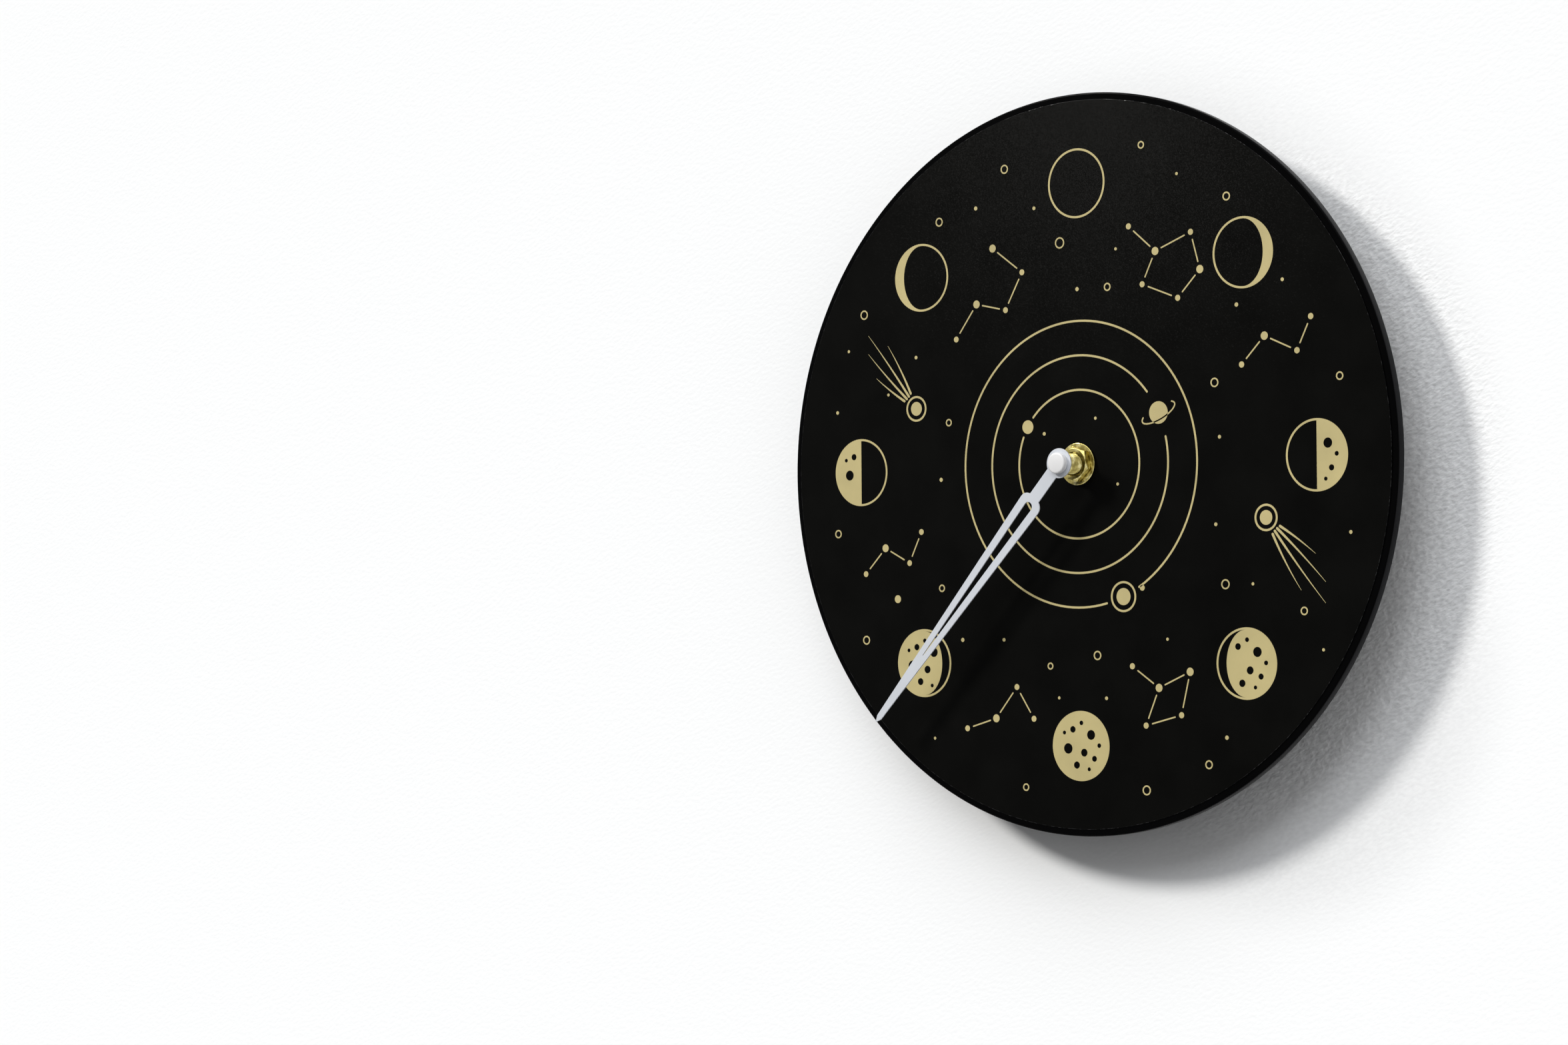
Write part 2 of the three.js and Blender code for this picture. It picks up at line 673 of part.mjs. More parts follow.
function moonWheel() {
  const turn = wheelTurn(handAxis, setAxis, MOON_WHEEL_TEETH);
  const bore = ARBOR_DIAMETER / 2 + SEAT_GAP;
  return plate(wheelShape(MOON_WHEEL_TEETH, turn, bore), moonWheelBack, moonWheelFront);
}

// Setting arbor: the clutch lets it turn in the drive wheel

function setArbor() {
  const shaftRadius = SET_ARBOR_DIAMETER / 2;
  const knobEnd = knobFront - KNOB_SOCKET_DEPTH + SEAT_GAP;
  const pinionBack = moonWheelBack - PINION_OVERLAP;
  const pinionFront = moonWheelFront + PINION_OVERLAP;
  const shoulderBack = layerBack(DRIVE_LAYER) + WHEEL_THICKNESS + SEAT_GAP;
  const shaft = rod(shaftRadius, knobEnd, moonWheelBack);
  const shoulder = rod(CLUTCH_SHOULDER_DIAMETER / 2, shoulderBack, shoulderBack + CLUTCH_SHOULDER_THICKNESS);
  const leaves = pinion(pinionTurn(handAxis, setAxis), pinionBack, pinionFront);
  const pivot = rod(SET_PIVOT_DIAMETER / 2, pinionBack, caseInnerFront + SET_PIVOT_DEPTH - END_SHAKE);
  return join(shaft, shoulder, leaves, pivot);
}

function clutchWasher() {
  const front = layerBack(DRIVE_LAYER) - SEAT_GAP;
  const bore = SET_ARBOR_DIAMETER / 2 + SEAT_GAP;
  return ring(bore, CLUTCH_WASHER_DIAMETER / 2, front - CLUTCH_WASHER_THICKNESS, front);
}

function clutchCollar() {
  const front = layerBack(DRIVE_LAYER) - CLUTCH_WASHER_THICKNESS - 2 * SEAT_GAP;
  const bore = SET_ARBOR_DIAMETER / 2 + SEAT_GAP;
  return ring(bore, CLUTCH_COLLAR_DIAMETER / 2, front - CLUTCH_COLLAR_THICKNESS, front);
}

function setKnob() {
  const points = [];
  for (let edge = 0; edge < 2 * KNOB_RIDGES; edge += 1) {
    const radius = KNOB_DIAMETER / 2 - (edge % 2) * KNOB_RIDGE_DEPTH;
    points.push(polar(radius, Math.PI * edge / KNOB_RIDGES));
  }
  const head = plate(new THREE.Shape(points), KNOB_RECESS, knobFront);
  const socketRadius = SET_ARBOR_DIAMETER / 2 + SEAT_GAP;
  return cut(head, rod(socketRadius, knobFront - KNOB_SOCKET_DEPTH, knobFront + CUT_PAST));
}

// Reduction train and motor

function driveWheel() {
  const back = layerBack(DRIVE_LAYER);
  const turn = wheelTurn(setAxis, thirdAxis, DRIVE_WHEEL_TEETH);
  const bore = SET_ARBOR_DIAMETER / 2 + RUNNING_CLEARANCE;
  return plate(wheelShape(DRIVE_WHEEL_TEETH, turn, bore), back, back + WHEEL_THICKNESS);
}

function thirdWheel() {
  const turn = wheelTurn(thirdAxis, secondAxis, THIRD_WHEEL_TEETH);
  return trainWheel(THIRD_LAYER, THIRD_WHEEL_TEETH, turn, pinionTurn(setAxis, thirdAxis));
}

function secondWheel() {
  const turn = wheelTurn(secondAxis, firstAxis, SECOND_WHEEL_TEETH);
  return trainWheel(SECOND_LAYER, SECOND_WHEEL_TEETH, turn, pinionTurn(thirdAxis, secondAxis));
}

function firstWheel() {
  const turn = wheelTurn(firstAxis, rotorAxis, FIRST_WHEEL_TEETH);
  return trainWheel(FIRST_LAYER, FIRST_WHEEL_TEETH, turn, pinionTurn(secondAxis, firstAxis));
}

function rotorPinion() {
  const shaft = pivotedShaft(COVER_THICKNESS + ROTOR_BEARING_HEIGHT);
  return join(shaft, layerPinion(FIRST_LAYER, pinionTurn(firstAxis, rotorAxis)));
}

function rotorMagnet() {
  const middle = (statorBack + statorFront) / 2;
  const bore = WHEEL_SHAFT_DIAMETER / 2 + SEAT_GAP;
  const half = MAGNET_THICKNESS / 2;
  return ring(bore, MAGNET_DIAMETER / 2, middle - half, middle + half, PIN_SIDES);
}

function stator() {
  const half = STATOR_ARM_WIDTH / 2;
  const top = coilY + CORE_WIDTH / 2;
  const low = rotorAxis.y - half;
  const holeRadius = MAGNET_DIAMETER / 2 + STATOR_AIR_GAP;
  const bar = box(leftArmX - half, rightArmX + half, low, low + STATOR_ARM_WIDTH, statorBack, statorFront);
  const arms = [leftArmX, rightArmX].map((x) => box(x - half, x + half, low, top, statorBack, statorFront));
  const pole = at(rotorAxis, rod(holeRadius + STATOR_WEB, statorBack, statorFront, HUB_SIDES));
  const hole = at(rotorAxis, rod(holeRadius, statorBack - CUT_PAST, statorFront + CUT_PAST));
  const stakeHoles = statorStakes.map((place) => stakeHole(place, statorBack, statorFront));
  return cut(join(bar, ...arms, pole), hole, ...stakeHoles);
}

// A block on the coil's own line, which runs along x
function coilBox(left, right, width, depth) {
  const bottom = coilY - width / 2;
  const back = coreMiddle - depth / 2;
  return box(left, right, bottom, bottom + width, back, back + depth);
}

function coreBox(margin) {
  const left = leftArmX - CORE_OVERLAP - margin;
  const right = rightArmX + CORE_OVERLAP + margin;
  return coilBox(left, right, CORE_WIDTH + 2 * margin, CORE_THICKNESS + 2 * margin);
}

const bobbinLeft = leftArmX + STATOR_ARM_WIDTH / 2 + MOTOR_GAP;
const bobbinRight = rightArmX - STATOR_ARM_WIDTH / 2 - MOTOR_GAP;
const tubeWidth = CORE_WIDTH + 2 * (SEAT_GAP + BOBBIN_WALL);
const tubeDepth = CORE_THICKNESS + 2 * (SEAT_GAP + BOBBIN_WALL);

function coilBobbin() {
  const tube = coilBox(bobbinLeft, bobbinRight, tubeWidth, tubeDepth);
  const leftCheek = coilBox(bobbinLeft, bobbinLeft + BOBBIN_CHEEK, BOBBIN_WIDTH, BOBBIN_DEPTH);
  const rightCheek = coilBox(bobbinRight - BOBBIN_CHEEK, bobbinRight, BOBBIN_WIDTH, BOBBIN_DEPTH);
  return cut(join(tube, leftCheek, rightCheek), coreBox(SEAT_GAP));
}

function coilWinding() {
  const left = bobbinLeft + BOBBIN_CHEEK + SEAT_GAP;
  const right = bobbinRight - BOBBIN_CHEEK - SEAT_GAP;
  const turns = coilBox(left, right, WINDING_WIDTH, WINDING_DEPTH);
  const space = 2 * SEAT_GAP;
  return cut(turns, coilBox(left - CUT_PAST, right + CUT_PAST, tubeWidth + space, tubeDepth + space));
}

// Movement case, cover and bridge

function stakeHole(place, back, front) {
  return at(place, rod(STAKE_DIAMETER / 2 + SEAT_GAP, back - CUT_PAST, front + CUT_PAST));
}

function stakePost(place, seat, thickness) {
  const post = rod(STAKE_POST_DIAMETER / 2, COVER_THICKNESS / 2, seat - SEAT_GAP);
  const stake = rod(STAKE_DIAMETER / 2, COVER_THICKNESS / 2, seat + thickness + STAKE_HEAD);
  return at(place, join(post, stake));
}

function casePillar(place) {
  const back = COVER_THICKNESS + SEAT_GAP;
  const step = bridgeFront + SEAT_GAP;
  const front = caseInnerFront + CASE_WALL / 2;
  const pillar = turned([
    [0, back],
    [PILLAR_DIAMETER / 2, back],
    [PILLAR_DIAMETER / 2, step],
    [PILLAR_FOOT_DIAMETER / 2, step],
    [PILLAR_FOOT_DIAMETER / 2, front],
    [0, front],
  ], PIN_SIDES);
  return at(place, pillar);
}

// Turns a body made about z to stand along y, at the hanger's screw places
function upright(x, geometry) {
  return geometry.rotateX(-Math.PI / 2).translate(x, 0, hangerScrewZ);
}

function hangerBoss(x) {
  return upright(x, rod(HANGER_BOSS_DIAMETER / 2, innerTop - HANGER_BOSS_HEIGHT, innerTop + CASE_WALL / 2));
}

function hangerScrewHole(x) {
  const radius = HANGER_SCREW_DIAMETER / 2 + SCREW_CLEARANCE;
  const low = innerTop - HANGER_BOSS_HEIGHT - CUT_PAST;
  return upright(x, rod(radius, low, caseTop + HANGER_THICKNESS + CUT_PAST));
}

function tailNotch(side) {
  const wall = side * innerHalfWidth;
  const reach = side * (innerHalfWidth - CONTACT_WALL_GAP - CONTACT_THICKNESS - TAIL_NOTCH_GAP);
  const front = tailFront + TAIL_NOTCH_GAP;
  const low = Math.min(wall, reach);
  return box(low, Math.max(wall, reach), bayTop - CUT_PAST, innerFloor + CUT_PAST, -CUT_PAST, front);
}

function movementCase() {
  const outline = roundedRectangle(-caseHalfWidth, caseHalfWidth, caseBottom, caseTop, CASE_CORNER_RADIUS);
  const block = plate(outline, 0, caseFront);
  const inner = innerHalfWidth;
  const chamber = box(-inner, inner, innerFloor, innerTop, -CUT_PAST, caseInnerFront);
  const bay = box(-inner, inner, bayBottom, bayTop, -CUT_PAST, caseInnerFront);
  const shell = cut(block, chamber, bay);
  const filled = join(shell, ...pillarPlaces.map(casePillar), ...hangerScrewPlaces.map(hangerBoss));
  const bushingRadius = THREAD_DIAMETER / 2 + THREAD_CLEARANCE;
  const bushingHole = rod(bushingRadius, caseInnerFront - CUT_PAST, caseFront + CUT_PAST, HUB_SIDES);
  const pivotRadius = SET_PIVOT_DIAMETER / 2 + RUNNING_CLEARANCE;
  const pivotHole = rod(pivotRadius, caseInnerFront - CUT_PAST, caseInnerFront + SET_PIVOT_DEPTH);
  const screwRadius = COVER_SCREW_DIAMETER / 2 + SCREW_CLEARANCE;
  const screwDepth = COVER_SCREW_LENGTH + CUT_PAST;
  const screwHoles = pillarPlaces.map((place) => at(place, rod(screwRadius, 0, screwDepth)));
  const notchHalf = FINGER_NOTCH_WIDTH / 2;
  const fingerNotch = box(
    -notchHalf, notchHalf, caseBottom - CUT_PAST, bayBottom + CUT_PAST, -CUT_PAST, FINGER_NOTCH_DEPTH,
  );
  return cut(
    filled,
    bushingHole,
    at(setAxis, pivotHole),
    ...screwHoles,
    ...hangerScrewPlaces.map(hangerScrewHole),
    ...[-1, 1].map(tailNotch),
    fingerNotch,
  );
}

function trainBridge() {
  const halfWidth = innerHalfWidth - BRIDGE_MARGIN;
  const shape = roundedRectangle(
    -halfWidth, halfWidth, innerFloor + BRIDGE_MARGIN, innerTop - BRIDGE_MARGIN, CASE_CORNER_RADIUS,
  );
  const pivotRadius = PIVOT_DIAMETER / 2 + RUNNING_CLEARANCE;
  const holes = [
    ...pillarPlaces.map((place) => [place, PILLAR_DIAMETER / 2 + SEAT_GAP]),
    ...[thirdAxis, secondAxis, firstAxis, rotorAxis].map((axis) => [axis, pivotRadius]),
    [handAxis, ARBOR_PIVOT_DIAMETER / 2 + RUNNING_CLEARANCE],
    [setAxis, CLUTCH_SHOULDER_DIAMETER / 2 + LAYER_GAP],
  ];
  holes.forEach(([place, radius]) => shape.holes.push(new THREE.Path(circle(place, radius))));
  return plate(shape, bridgeBack, bridgeFront);
}

function screwSink(place) {
  const head = COVER_SCREW_HEAD_DIAMETER / 2 + SCREW_CLEARANCE;
  const shank = COVER_SCREW_DIAMETER / 2 + SCREW_CLEARANCE;
  const coneBack = COVER_SCREW_SINK;
  const coneFront = coneBack + head - shank;
  const sink = turned([
    [0, -CUT_PAST],
    [head, -CUT_PAST],
    [head, coneBack],
    [shank, coneFront],
    [shank, COVER_THICKNESS + CUT_PAST],
    [0, COVER_THICKNESS + CUT_PAST],
  ], PIN_SIDES);
  return at(place, sink);
}

function movementCover() {
  const halfWidth = innerHalfWidth - COVER_CLEARANCE;
  const bottom = innerFloor + COVER_CLEARANCE;
  const top = innerTop - COVER_CLEARANCE;
  const sheet = box(-halfWidth, halfWidth, bottom, top, 0, COVER_THICKNESS);
  const root = COVER_THICKNESS / 2;
  const cup = at(setAxis, rod(cupOuterRadius, root, cupFloorFront, HUB_SIDES));
  const wheelAxes = [thirdAxis, secondAxis, firstAxis];
  const bearings = wheelAxes.map((axis) => at(axis, rod(BEARING_DIAMETER / 2, root, bearingFront)));
  const rotorSeat = COVER_THICKNESS + ROTOR_BEARING_HEIGHT;
  const rotorBearing = at(rotorAxis, rod(BEARING_DIAMETER / 2, root, rotorSeat));
  const statorPosts = statorStakes.map((place) => stakePost(place, statorBack, STATOR_THICKNESS));
  const boardPosts = boardStakes.map((place) => stakePost(place, boardBack, BOARD_THICKNESS));
  const whole = join(sheet, cup, ...bearings, rotorBearing, ...statorPosts, ...boardPosts);
  const pivotRadius = PIVOT_DIAMETER / 2 + RUNNING_CLEARANCE;
  const pivotDepth = bearingFront - PIVOT_LENGTH;
  const pivotHoles = wheelAxes.map((axis) => at(axis, rod(pivotRadius, pivotDepth, trainBack)));
  const rotorHole = at(rotorAxis, rod(pivotRadius, rotorSeat - PIVOT_LENGTH, trainBack));
  const knobPocket = at(setAxis, rod(cupInnerRadius, -CUT_PAST, cupFloorBack, HUB_SIDES));
  const arborHole = at(setAxis, rod(SET_ARBOR_DIAMETER / 2 + RUNNING_CLEARANCE, 0, trainBack));
  return cut(whole, knobPocket, arborHole, ...pivotHoles, rotorHole, ...pillarPlaces.map(screwSink));
}

function screwSlot(back, front) {
  const half = SCREW_SLOT_WIDTH / 2;
  const reach = COVER_SCREW_HEAD_DIAMETER + HANGER_SCREW_HEAD_DIAMETER;
  return box(-reach, reach, -half, half, back, front);
}

function coverScrew() {
  const head = COVER_SCREW_HEAD_DIAMETER / 2;
  const shank = COVER_SCREW_DIAMETER / 2;
  const tip = COVER_SCREW_LENGTH;
  const body = turned([
    [0, COVER_SCREW_SINK],
    [head, COVER_SCREW_SINK],
    [shank, COVER_SCREW_SINK + head - shank],
    [shank, tip - shank],
    [0, tip],
  ], PIN_SIDES);
  return cut(body, screwSlot(0, COVER_SCREW_SINK + SCREW_SLOT_DEPTH));
}

// Hanger

function hanger() {
  const half = HANGER_WIDTH / 2;
  const front = HANGER_SETBACK + HANGER_THICKNESS;
  const tab = new THREE.Shape();
  tab.moveTo(-half, hangerFlangeY);
  tab.lineTo(half, hangerFlangeY);
  tab.absarc(0, eyeY, half, 0, Math.PI, false);
  const eye = EYE_DIAMETER / 2;
  const slot = EYE_SLOT_WIDTH / 2;
  const slotAngle = Math.acos(slot / eye);
  const hole = new THREE.Path();
  hole.absarc(0, eyeY, eye, Math.PI - slotAngle, slotAngle, false);
  hole.absarc(0, eyeY + EYE_SLOT_RISE, slot, 0, Math.PI, false);
  tab.holes.push(hole);
  const flangeTop = hangerFlangeY + HANGER_THICKNESS;
  const flangeFront = HANGER_SETBACK + HANGER_FLANGE_DEPTH;
  const flange = box(-half, half, hangerFlangeY, flangeTop, HANGER_SETBACK, flangeFront);
  const bracket = join(plate(tab, HANGER_SETBACK, front), flange);
  return cut(bracket, ...hangerScrewPlaces.map(hangerScrewHole));
}

function hangerScrew(x) {
  const head = HANGER_SCREW_HEAD_DIAMETER / 2;
  const shank = HANGER_SCREW_DIAMETER / 2;
  const seat = hangerFlangeY + HANGER_THICKNESS + SEAT_GAP;
  const top = seat + HANGER_SCREW_HEAD_HEIGHT;
  const rim = top - HANGER_SCREW_HEAD_HEIGHT / 2;
  const tip = seat - HANGER_THICKNESS - HANGER_SCREW_LENGTH;
  const body = turned([
    [0, tip],
    [shank, tip + shank],
    [shank, seat],
    [head, seat],
    [head, rim],
    [head / 2, top],
    [0, top],
  ], PIN_SIDES);
  return upright(x, cut(body, screwSlot(top - SCREW_SLOT_DEPTH, top + CUT_PAST)));
}

// Electronics

function circuitBoard() {
  const sheet = box(boardLeft, boardRight, boardBottom, boardTop, boardBack, boardFront);
  return cut(sheet, ...boardStakes.map((place) => stakeHole(place, boardBack, boardFront)));
}

function timerChip() {
  const back = boardFront + SEAT_GAP;
  const place = new THREE.Vector2(boardLeft + BOARD_MARGIN + CHIP_DIAMETER / 2, (boardBottom + boardTop) / 2);
  const dome = turned([
    [0, back],
    [CHIP_DIAMETER / 2, back],
    [CHIP_DIAMETER / 2 - CHIP_EDGE, back + CHIP_EDGE],
    [0, back + CHIP_HEIGHT],
  ], PIN_SIDES);
  return at(place, dome);
}

function quartzCrystal() {
  const can = rod(CRYSTAL_DIAMETER / 2, 0, CRYSTAL_LENGTH).rotateY(Math.PI / 2);
  const left = boardRight - BOARD_MARGIN - CRYSTAL_LENGTH;
  const middle = boardBottom + BOARD_STAKE_INSET;
  return can.translate(left, middle, boardFront + SEAT_GAP + CRYSTAL_DIAMETER / 2);
}

function batteryCell() {
  const outer = BATTERY_DIAMETER / 2;
  const nub = BATTERY_NUB_DIAMETER / 2;
  const half = BATTERY_LENGTH / 2;
  const shoulder = half - BATTERY_NUB_LENGTH;
  const body = turned([
    [0, -half],
    [outer - BATTERY_EDGE, -half],
    [outer, BATTERY_EDGE - half],
    [outer, shoulder - BATTERY_EDGE],
    [outer - BATTERY_EDGE, shoulder],
    [nub, shoulder],
    [nub, half],
    [0, half],
  ], HUB_SIDES);
  return body.rotateY(Math.PI / 2).translate(0, batteryAxisY, batteryAxisZ);
}

// A bowed leaf that presses on the battery's end; side is -1 at the left and 1 at the right
function contactLeaf(side) {
  const wallX = innerHalfWidth - CONTACT_WALL_GAP - CONTACT_THICKNESS / 2;
  const touchX = BATTERY_LENGTH / 2 + CONTACT_TOUCH_GAP + CONTACT_THICKNESS / 2;
  const low = bayBottom + CONTACT_LEAF_MARGIN;
  const high = bayTop - CONTACT_LEAF_MARGIN;
  const points = [];
  for (let step = 0; step <= CURVE_STEPS; step += 1) {
    const along = step / CURVE_STEPS;
    const bow = Math.sin(Math.PI * along) ** 2;
    points.push(new THREE.Vector2(side * (wallX + (touchX - wallX) * bow), low + (high - low) * along));
  }
  points.push(new THREE.Vector2(side * wallX, bayTop));
  return points;
}

function contact(side, tail) {
  const leaf = contactLeaf(side);
  const end = leaf[leaf.length - 1];
  const start = new THREE.Vector2(end.x, end.y - CONTACT_LEAF_MARGIN);
  return join(strip(leaf, tailBack, tailBack + CONTACT_WIDTH), strip([start, ...tail], tailBack, tailFront));
}

function positiveContact() {
  const wallX = innerHalfWidth - CONTACT_WALL_GAP - CONTACT_THICKNESS / 2;
  const tailY = boardBottom + BOARD_STAKE_INSET;
  return contact(1, [
    new THREE.Vector2(wallX, tailY),
    new THREE.Vector2(boardRight + SEAT_GAP, tailY),
  ]);
}

function negativeContact() {
  const wallX = innerHalfWidth - CONTACT_WALL_GAP - CONTACT_THICKNESS / 2;
  const topY = innerTop - CONTACT_WALL_GAP - CONTACT_THICKNESS / 2;
  const dropX = boardLeft + BOARD_STAKE_INSET;
  return contact(-1, [
    new THREE.Vector2(-wallX, topY),
    new THREE.Vector2(dropX, topY),
    new THREE.Vector2(dropX, boardTop + SEAT_GAP),
  ]);
}

// Finishes and assembly

const FINISHES = {
  blackLacquer: { color: 0x0b0b0b, roughness: 0.35, metalness: 0 },
  blackSheet: { color: 0x101010, roughness: 0.7, metalness: 0 },
  blackRubber: { color: 0x151515, roughness: 0.9, metalness: 0 },
  brass: { color: 0xb89a4a, roughness: 0.25, metalness: 1 },
  handPaint: { color: 0xcdd1da, roughness: 0.45, metalness: 0 },
  capPlastic: { color: 0xebebed, roughness: 0.35, metalness: 0 },
  casePlastic: { color: 0x1b1b1c, roughness: 0.55, metalness: 0 },
  gearPlastic: { color: 0xd8d2c0, roughness: 0.5, metalness: 0 },
  steel: { color: 0xb4b4b2, roughness: 0.3, metalness: 1 },
  magnet: { color: 0x3a3a3c, roughness: 0.4, metalness: 0.6 },
  copper: { color: 0xb4683c, roughness: 0.35, metalness: 1 },
  boardGreen: { color: 0x1f5a36, roughness: 0.5, metalness: 0 },
  chipResin: { color: 0x0a0a0a, roughness: 0.3, metalness: 0 },
  batteryJacket: { color: 0x2c2c2e, roughness: 0.4, metalness: 0.3 },
};

const clock = new THREE.Group();

function addPart(name, geometry, finish, axis = handAxis) {
  geometry.computeVertexNormals();
  const mesh = new THREE.Mesh(geometry, new THREE.MeshStandardMaterial(FINISHES[finish]));
  mesh.name = name;
  mesh.position.set(axis.x, axis.y, 0);
  clock.add(mesh);
  return mesh;
}

addPart('body_plate', bodyPlate(), 'blackLacquer');
addPart('dial_sheet', dialSheet(), 'blackSheet');
addPart('rubber_gasket', rubberGasket(), 'blackRubber');
addPart('threaded_bushing', threadedBushing(), 'brass');
addPart('flat_washer', flatWasher(), 'brass');
addPart('hex_nut', hexNut(), 'brass');

addPart('moon_hand', moonHand(), 'handPaint').rotation.z = -THREE.MathUtils.degToRad(HAND_ANGLE);
addPart('hand_collet', handCollet(), 'brass');
addPart('hand_cap', handCap(), 'capPlastic');
addPart('hand_arbor', handArbor(), 'steel');
addPart('moon_wheel', moonWheel(), 'gearPlastic');

addPart('set_arbor', setArbor(), 'steel', setAxis);
addPart('clutch_washer', clutchWasher(), 'steel', setAxis);
addPart('clutch_collar', clutchCollar(), 'brass', setAxis);
addPart('set_knob', setKnob(), 'casePlastic', setAxis);

addPart('drive_wheel', driveWheel(), 'gearPlastic', setAxis);
addPart('third_wheel', thirdWheel(), 'gearPlastic', thirdAxis);
addPart('second_wheel', secondWheel(), 'gearPlastic', secondAxis);
addPart('first_wheel', firstWheel(), 'gearPlastic', firstAxis);
addPart('rotor_pinion', rotorPinion(), 'gearPlastic', rotorAxis);
addPart('rotor_magnet', rotorMagnet(), 'magnet', rotorAxis);
addPart('stator', stator(), 'steel');
addPart('coil_core', coreBox(0), 'steel');
addPart('coil_bobbin', coilBobbin(), 'gearPlastic');
addPart('coil_winding', coilWinding(), 'copper');

addPart('movement_case', movementCase(), 'casePlastic');
addPart('movement_cover', movementCover(), 'casePlastic');
addPart('train_bridge', trainBridge(), 'casePlastic');
pillarPlaces.forEach((place, i) => addPart(`cover_screw_${i + 1}`, coverScrew(), 'steel', place));
addPart('hanger', hanger(), 'steel');
hangerScrewPlaces.forEach((x, i) => addPart(`hanger_screw_${i + 1}`, hangerScrew(x), 'steel'));

addPart('circuit_board', circuitBoard(), 'boardGreen');
addPart('timer_chip', timerChip(), 'chipResin');
addPart('quartz_crystal', quartzCrystal(), 'steel');
addPart('positive_contact', positiveContact(), 'steel');
addPart('negative_contact', negativeContact(), 'steel');
addPart('battery_cell', batteryCell(), 'batteryJacket');

clock.rotation.x = Math.PI / 2;

const moonClock = new THREE.Group();
moonClock.add(clock);

export default moonClock;
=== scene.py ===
import math

import bmesh
import bpy
from mathutils import Matrix, Vector
from mathutils.geometry import tessellate_polygon


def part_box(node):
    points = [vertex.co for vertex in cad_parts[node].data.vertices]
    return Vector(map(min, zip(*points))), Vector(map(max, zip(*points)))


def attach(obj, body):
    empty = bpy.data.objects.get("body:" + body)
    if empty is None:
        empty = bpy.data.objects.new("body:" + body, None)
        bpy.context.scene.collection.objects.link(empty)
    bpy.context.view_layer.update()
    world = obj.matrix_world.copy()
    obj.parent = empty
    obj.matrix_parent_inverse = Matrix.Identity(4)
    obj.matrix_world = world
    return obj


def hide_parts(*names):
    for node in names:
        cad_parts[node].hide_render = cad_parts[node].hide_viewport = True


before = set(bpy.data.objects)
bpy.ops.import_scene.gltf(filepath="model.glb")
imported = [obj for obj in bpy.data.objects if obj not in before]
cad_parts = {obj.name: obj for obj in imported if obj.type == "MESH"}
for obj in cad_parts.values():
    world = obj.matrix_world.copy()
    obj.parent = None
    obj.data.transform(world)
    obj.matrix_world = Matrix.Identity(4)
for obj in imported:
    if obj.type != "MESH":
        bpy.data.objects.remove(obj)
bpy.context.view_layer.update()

# Sizes are millimetres in the viewer's axes: x to the right, up, and out of the wall towards the viewer
MM = 0.001

# Fineness of round forms
FACE_SIDES = 288
HUB_SIDES = 96
BATTERY_SIDES = 64
ROUND_STEPS = 5
SHARP_ANGLE = math.radians(32)
BEVEL_SEGMENTS = 2
BEVEL_FROM = math.radians(24)
FLAT_WITHIN = math.radians(0.5)
WELD = 0.0005

# Camera; its place and near limit are metres in the frame's own axes
CAMERA_PLACE = (0.887288, -1.224606, -0.059642)
CAMERA_YAW = math.radians(40.689)
CAMERA_PITCH = math.radians(1.477)
CAMERA_ROLL = math.radians(-0.395)
CAMERA_LENS = 90.97
CAMERA_NEAR = 0.02
SENSOR_WIDTH = 36

# Light, each direction pointing from the clock to the lamp in the frame's own axes
WARM_WHITE = (1.0, 0.98, 0.94)
COOL_WHITE = (0.965, 0.982, 1.0)
KEY_DIRECTION = (-0.956, -1.0, 0.909)
KEY_STRENGTH = 2.47
KEY_ANGLE = math.radians(10)
CEILING_DIRECTION = (0, -1.0, 1.3)
CEILING_STRENGTH = 1.6
CEILING_ANGLE = math.radians(50)
BACK_DIRECTION = (-0.5, 1.0, 0.6)
BACK_STRENGTH = 3.2
UNDER_DIRECTION = (-0.3, 1.0, -0.5)
UNDER_STRENGTH = 1.2
FILL_ANGLE = math.radians(50)
SKY_LEVEL = 0.16
SKY_LEAN = (0.72, 0, 0.28)
SKY_LEAST = 0.01

# Backdrop: the wall with a curve into a floor far below
WALL_GAP = 0.3
WALL_LEFT = -2600
WALL_RIGHT = 2200
WALL_TOP = 1700
FLOOR_LEVEL = -3000
FLOOR_REACH = 400
COVE_RADIUS = 350
COVE_STEPS = 12

# Round patches of the wall: painted shade close round the clock and at its lower right, and a rougher patch
# where the key's shadow falls, in which the streaks' tone swings more as painted shade of their relief;
# each is right, up, inner radius, outer radius
PAINTED_SHADE_HALO = (17, -2, 120, 164)
LOW_PAINTED_SHADE = (74, -76, 71, 106)
ROUGH_AND_SHADED_PATCH = (44, -10, 108, 136)

# Wall paint, the grey of its painted shade, and the streaks of the roller, which are fainter far from the
# clock
WALL_WHITE = (0.945, 0.955, 0.968)
WALL_SHADE_GREY = (0.716, 0.723, 0.735)
STREAK_SIZE = 1.3
STREAK_STRETCH = (1.8, 1, 1)
STREAK_LEAN = math.radians(22)
STREAK_SHADE_FAR = 0.25
STREAK_SHADE_NEAR = 1.0
STREAK_HEIGHT = 0.54
STREAK_RELIEF_FAR = 0.15

# Textures: a noise's usual range, a plain finish's swing of gloss and its clouds, and one wave to a cell
NOISE_LOW = 0.3
NOISE_HIGH = 0.7
GLOSS_SWING = 0.12
CLOUD_SIZE = 18
WAVE_PER_CELL = math.tau / 20

# Face
BODY_EDGE = 0.7
FILM_EDGE = 0.12
HOLE_EDGE = 0.2
GASKET_EDGE = 0.25
FLAKE_SIZE = 0.27
FLAKE_LEAN = 0.215
FLAKE_SPREAD = 0.055
FLAKE_WEIGHT = 0.002
FLAKE_ROUGHNESS = 0.13

# A face of the board is its cut edge, or its back, from these values of its normal towards the wall
EDGE_FACING = -0.6
BACK_FACING = 0.99

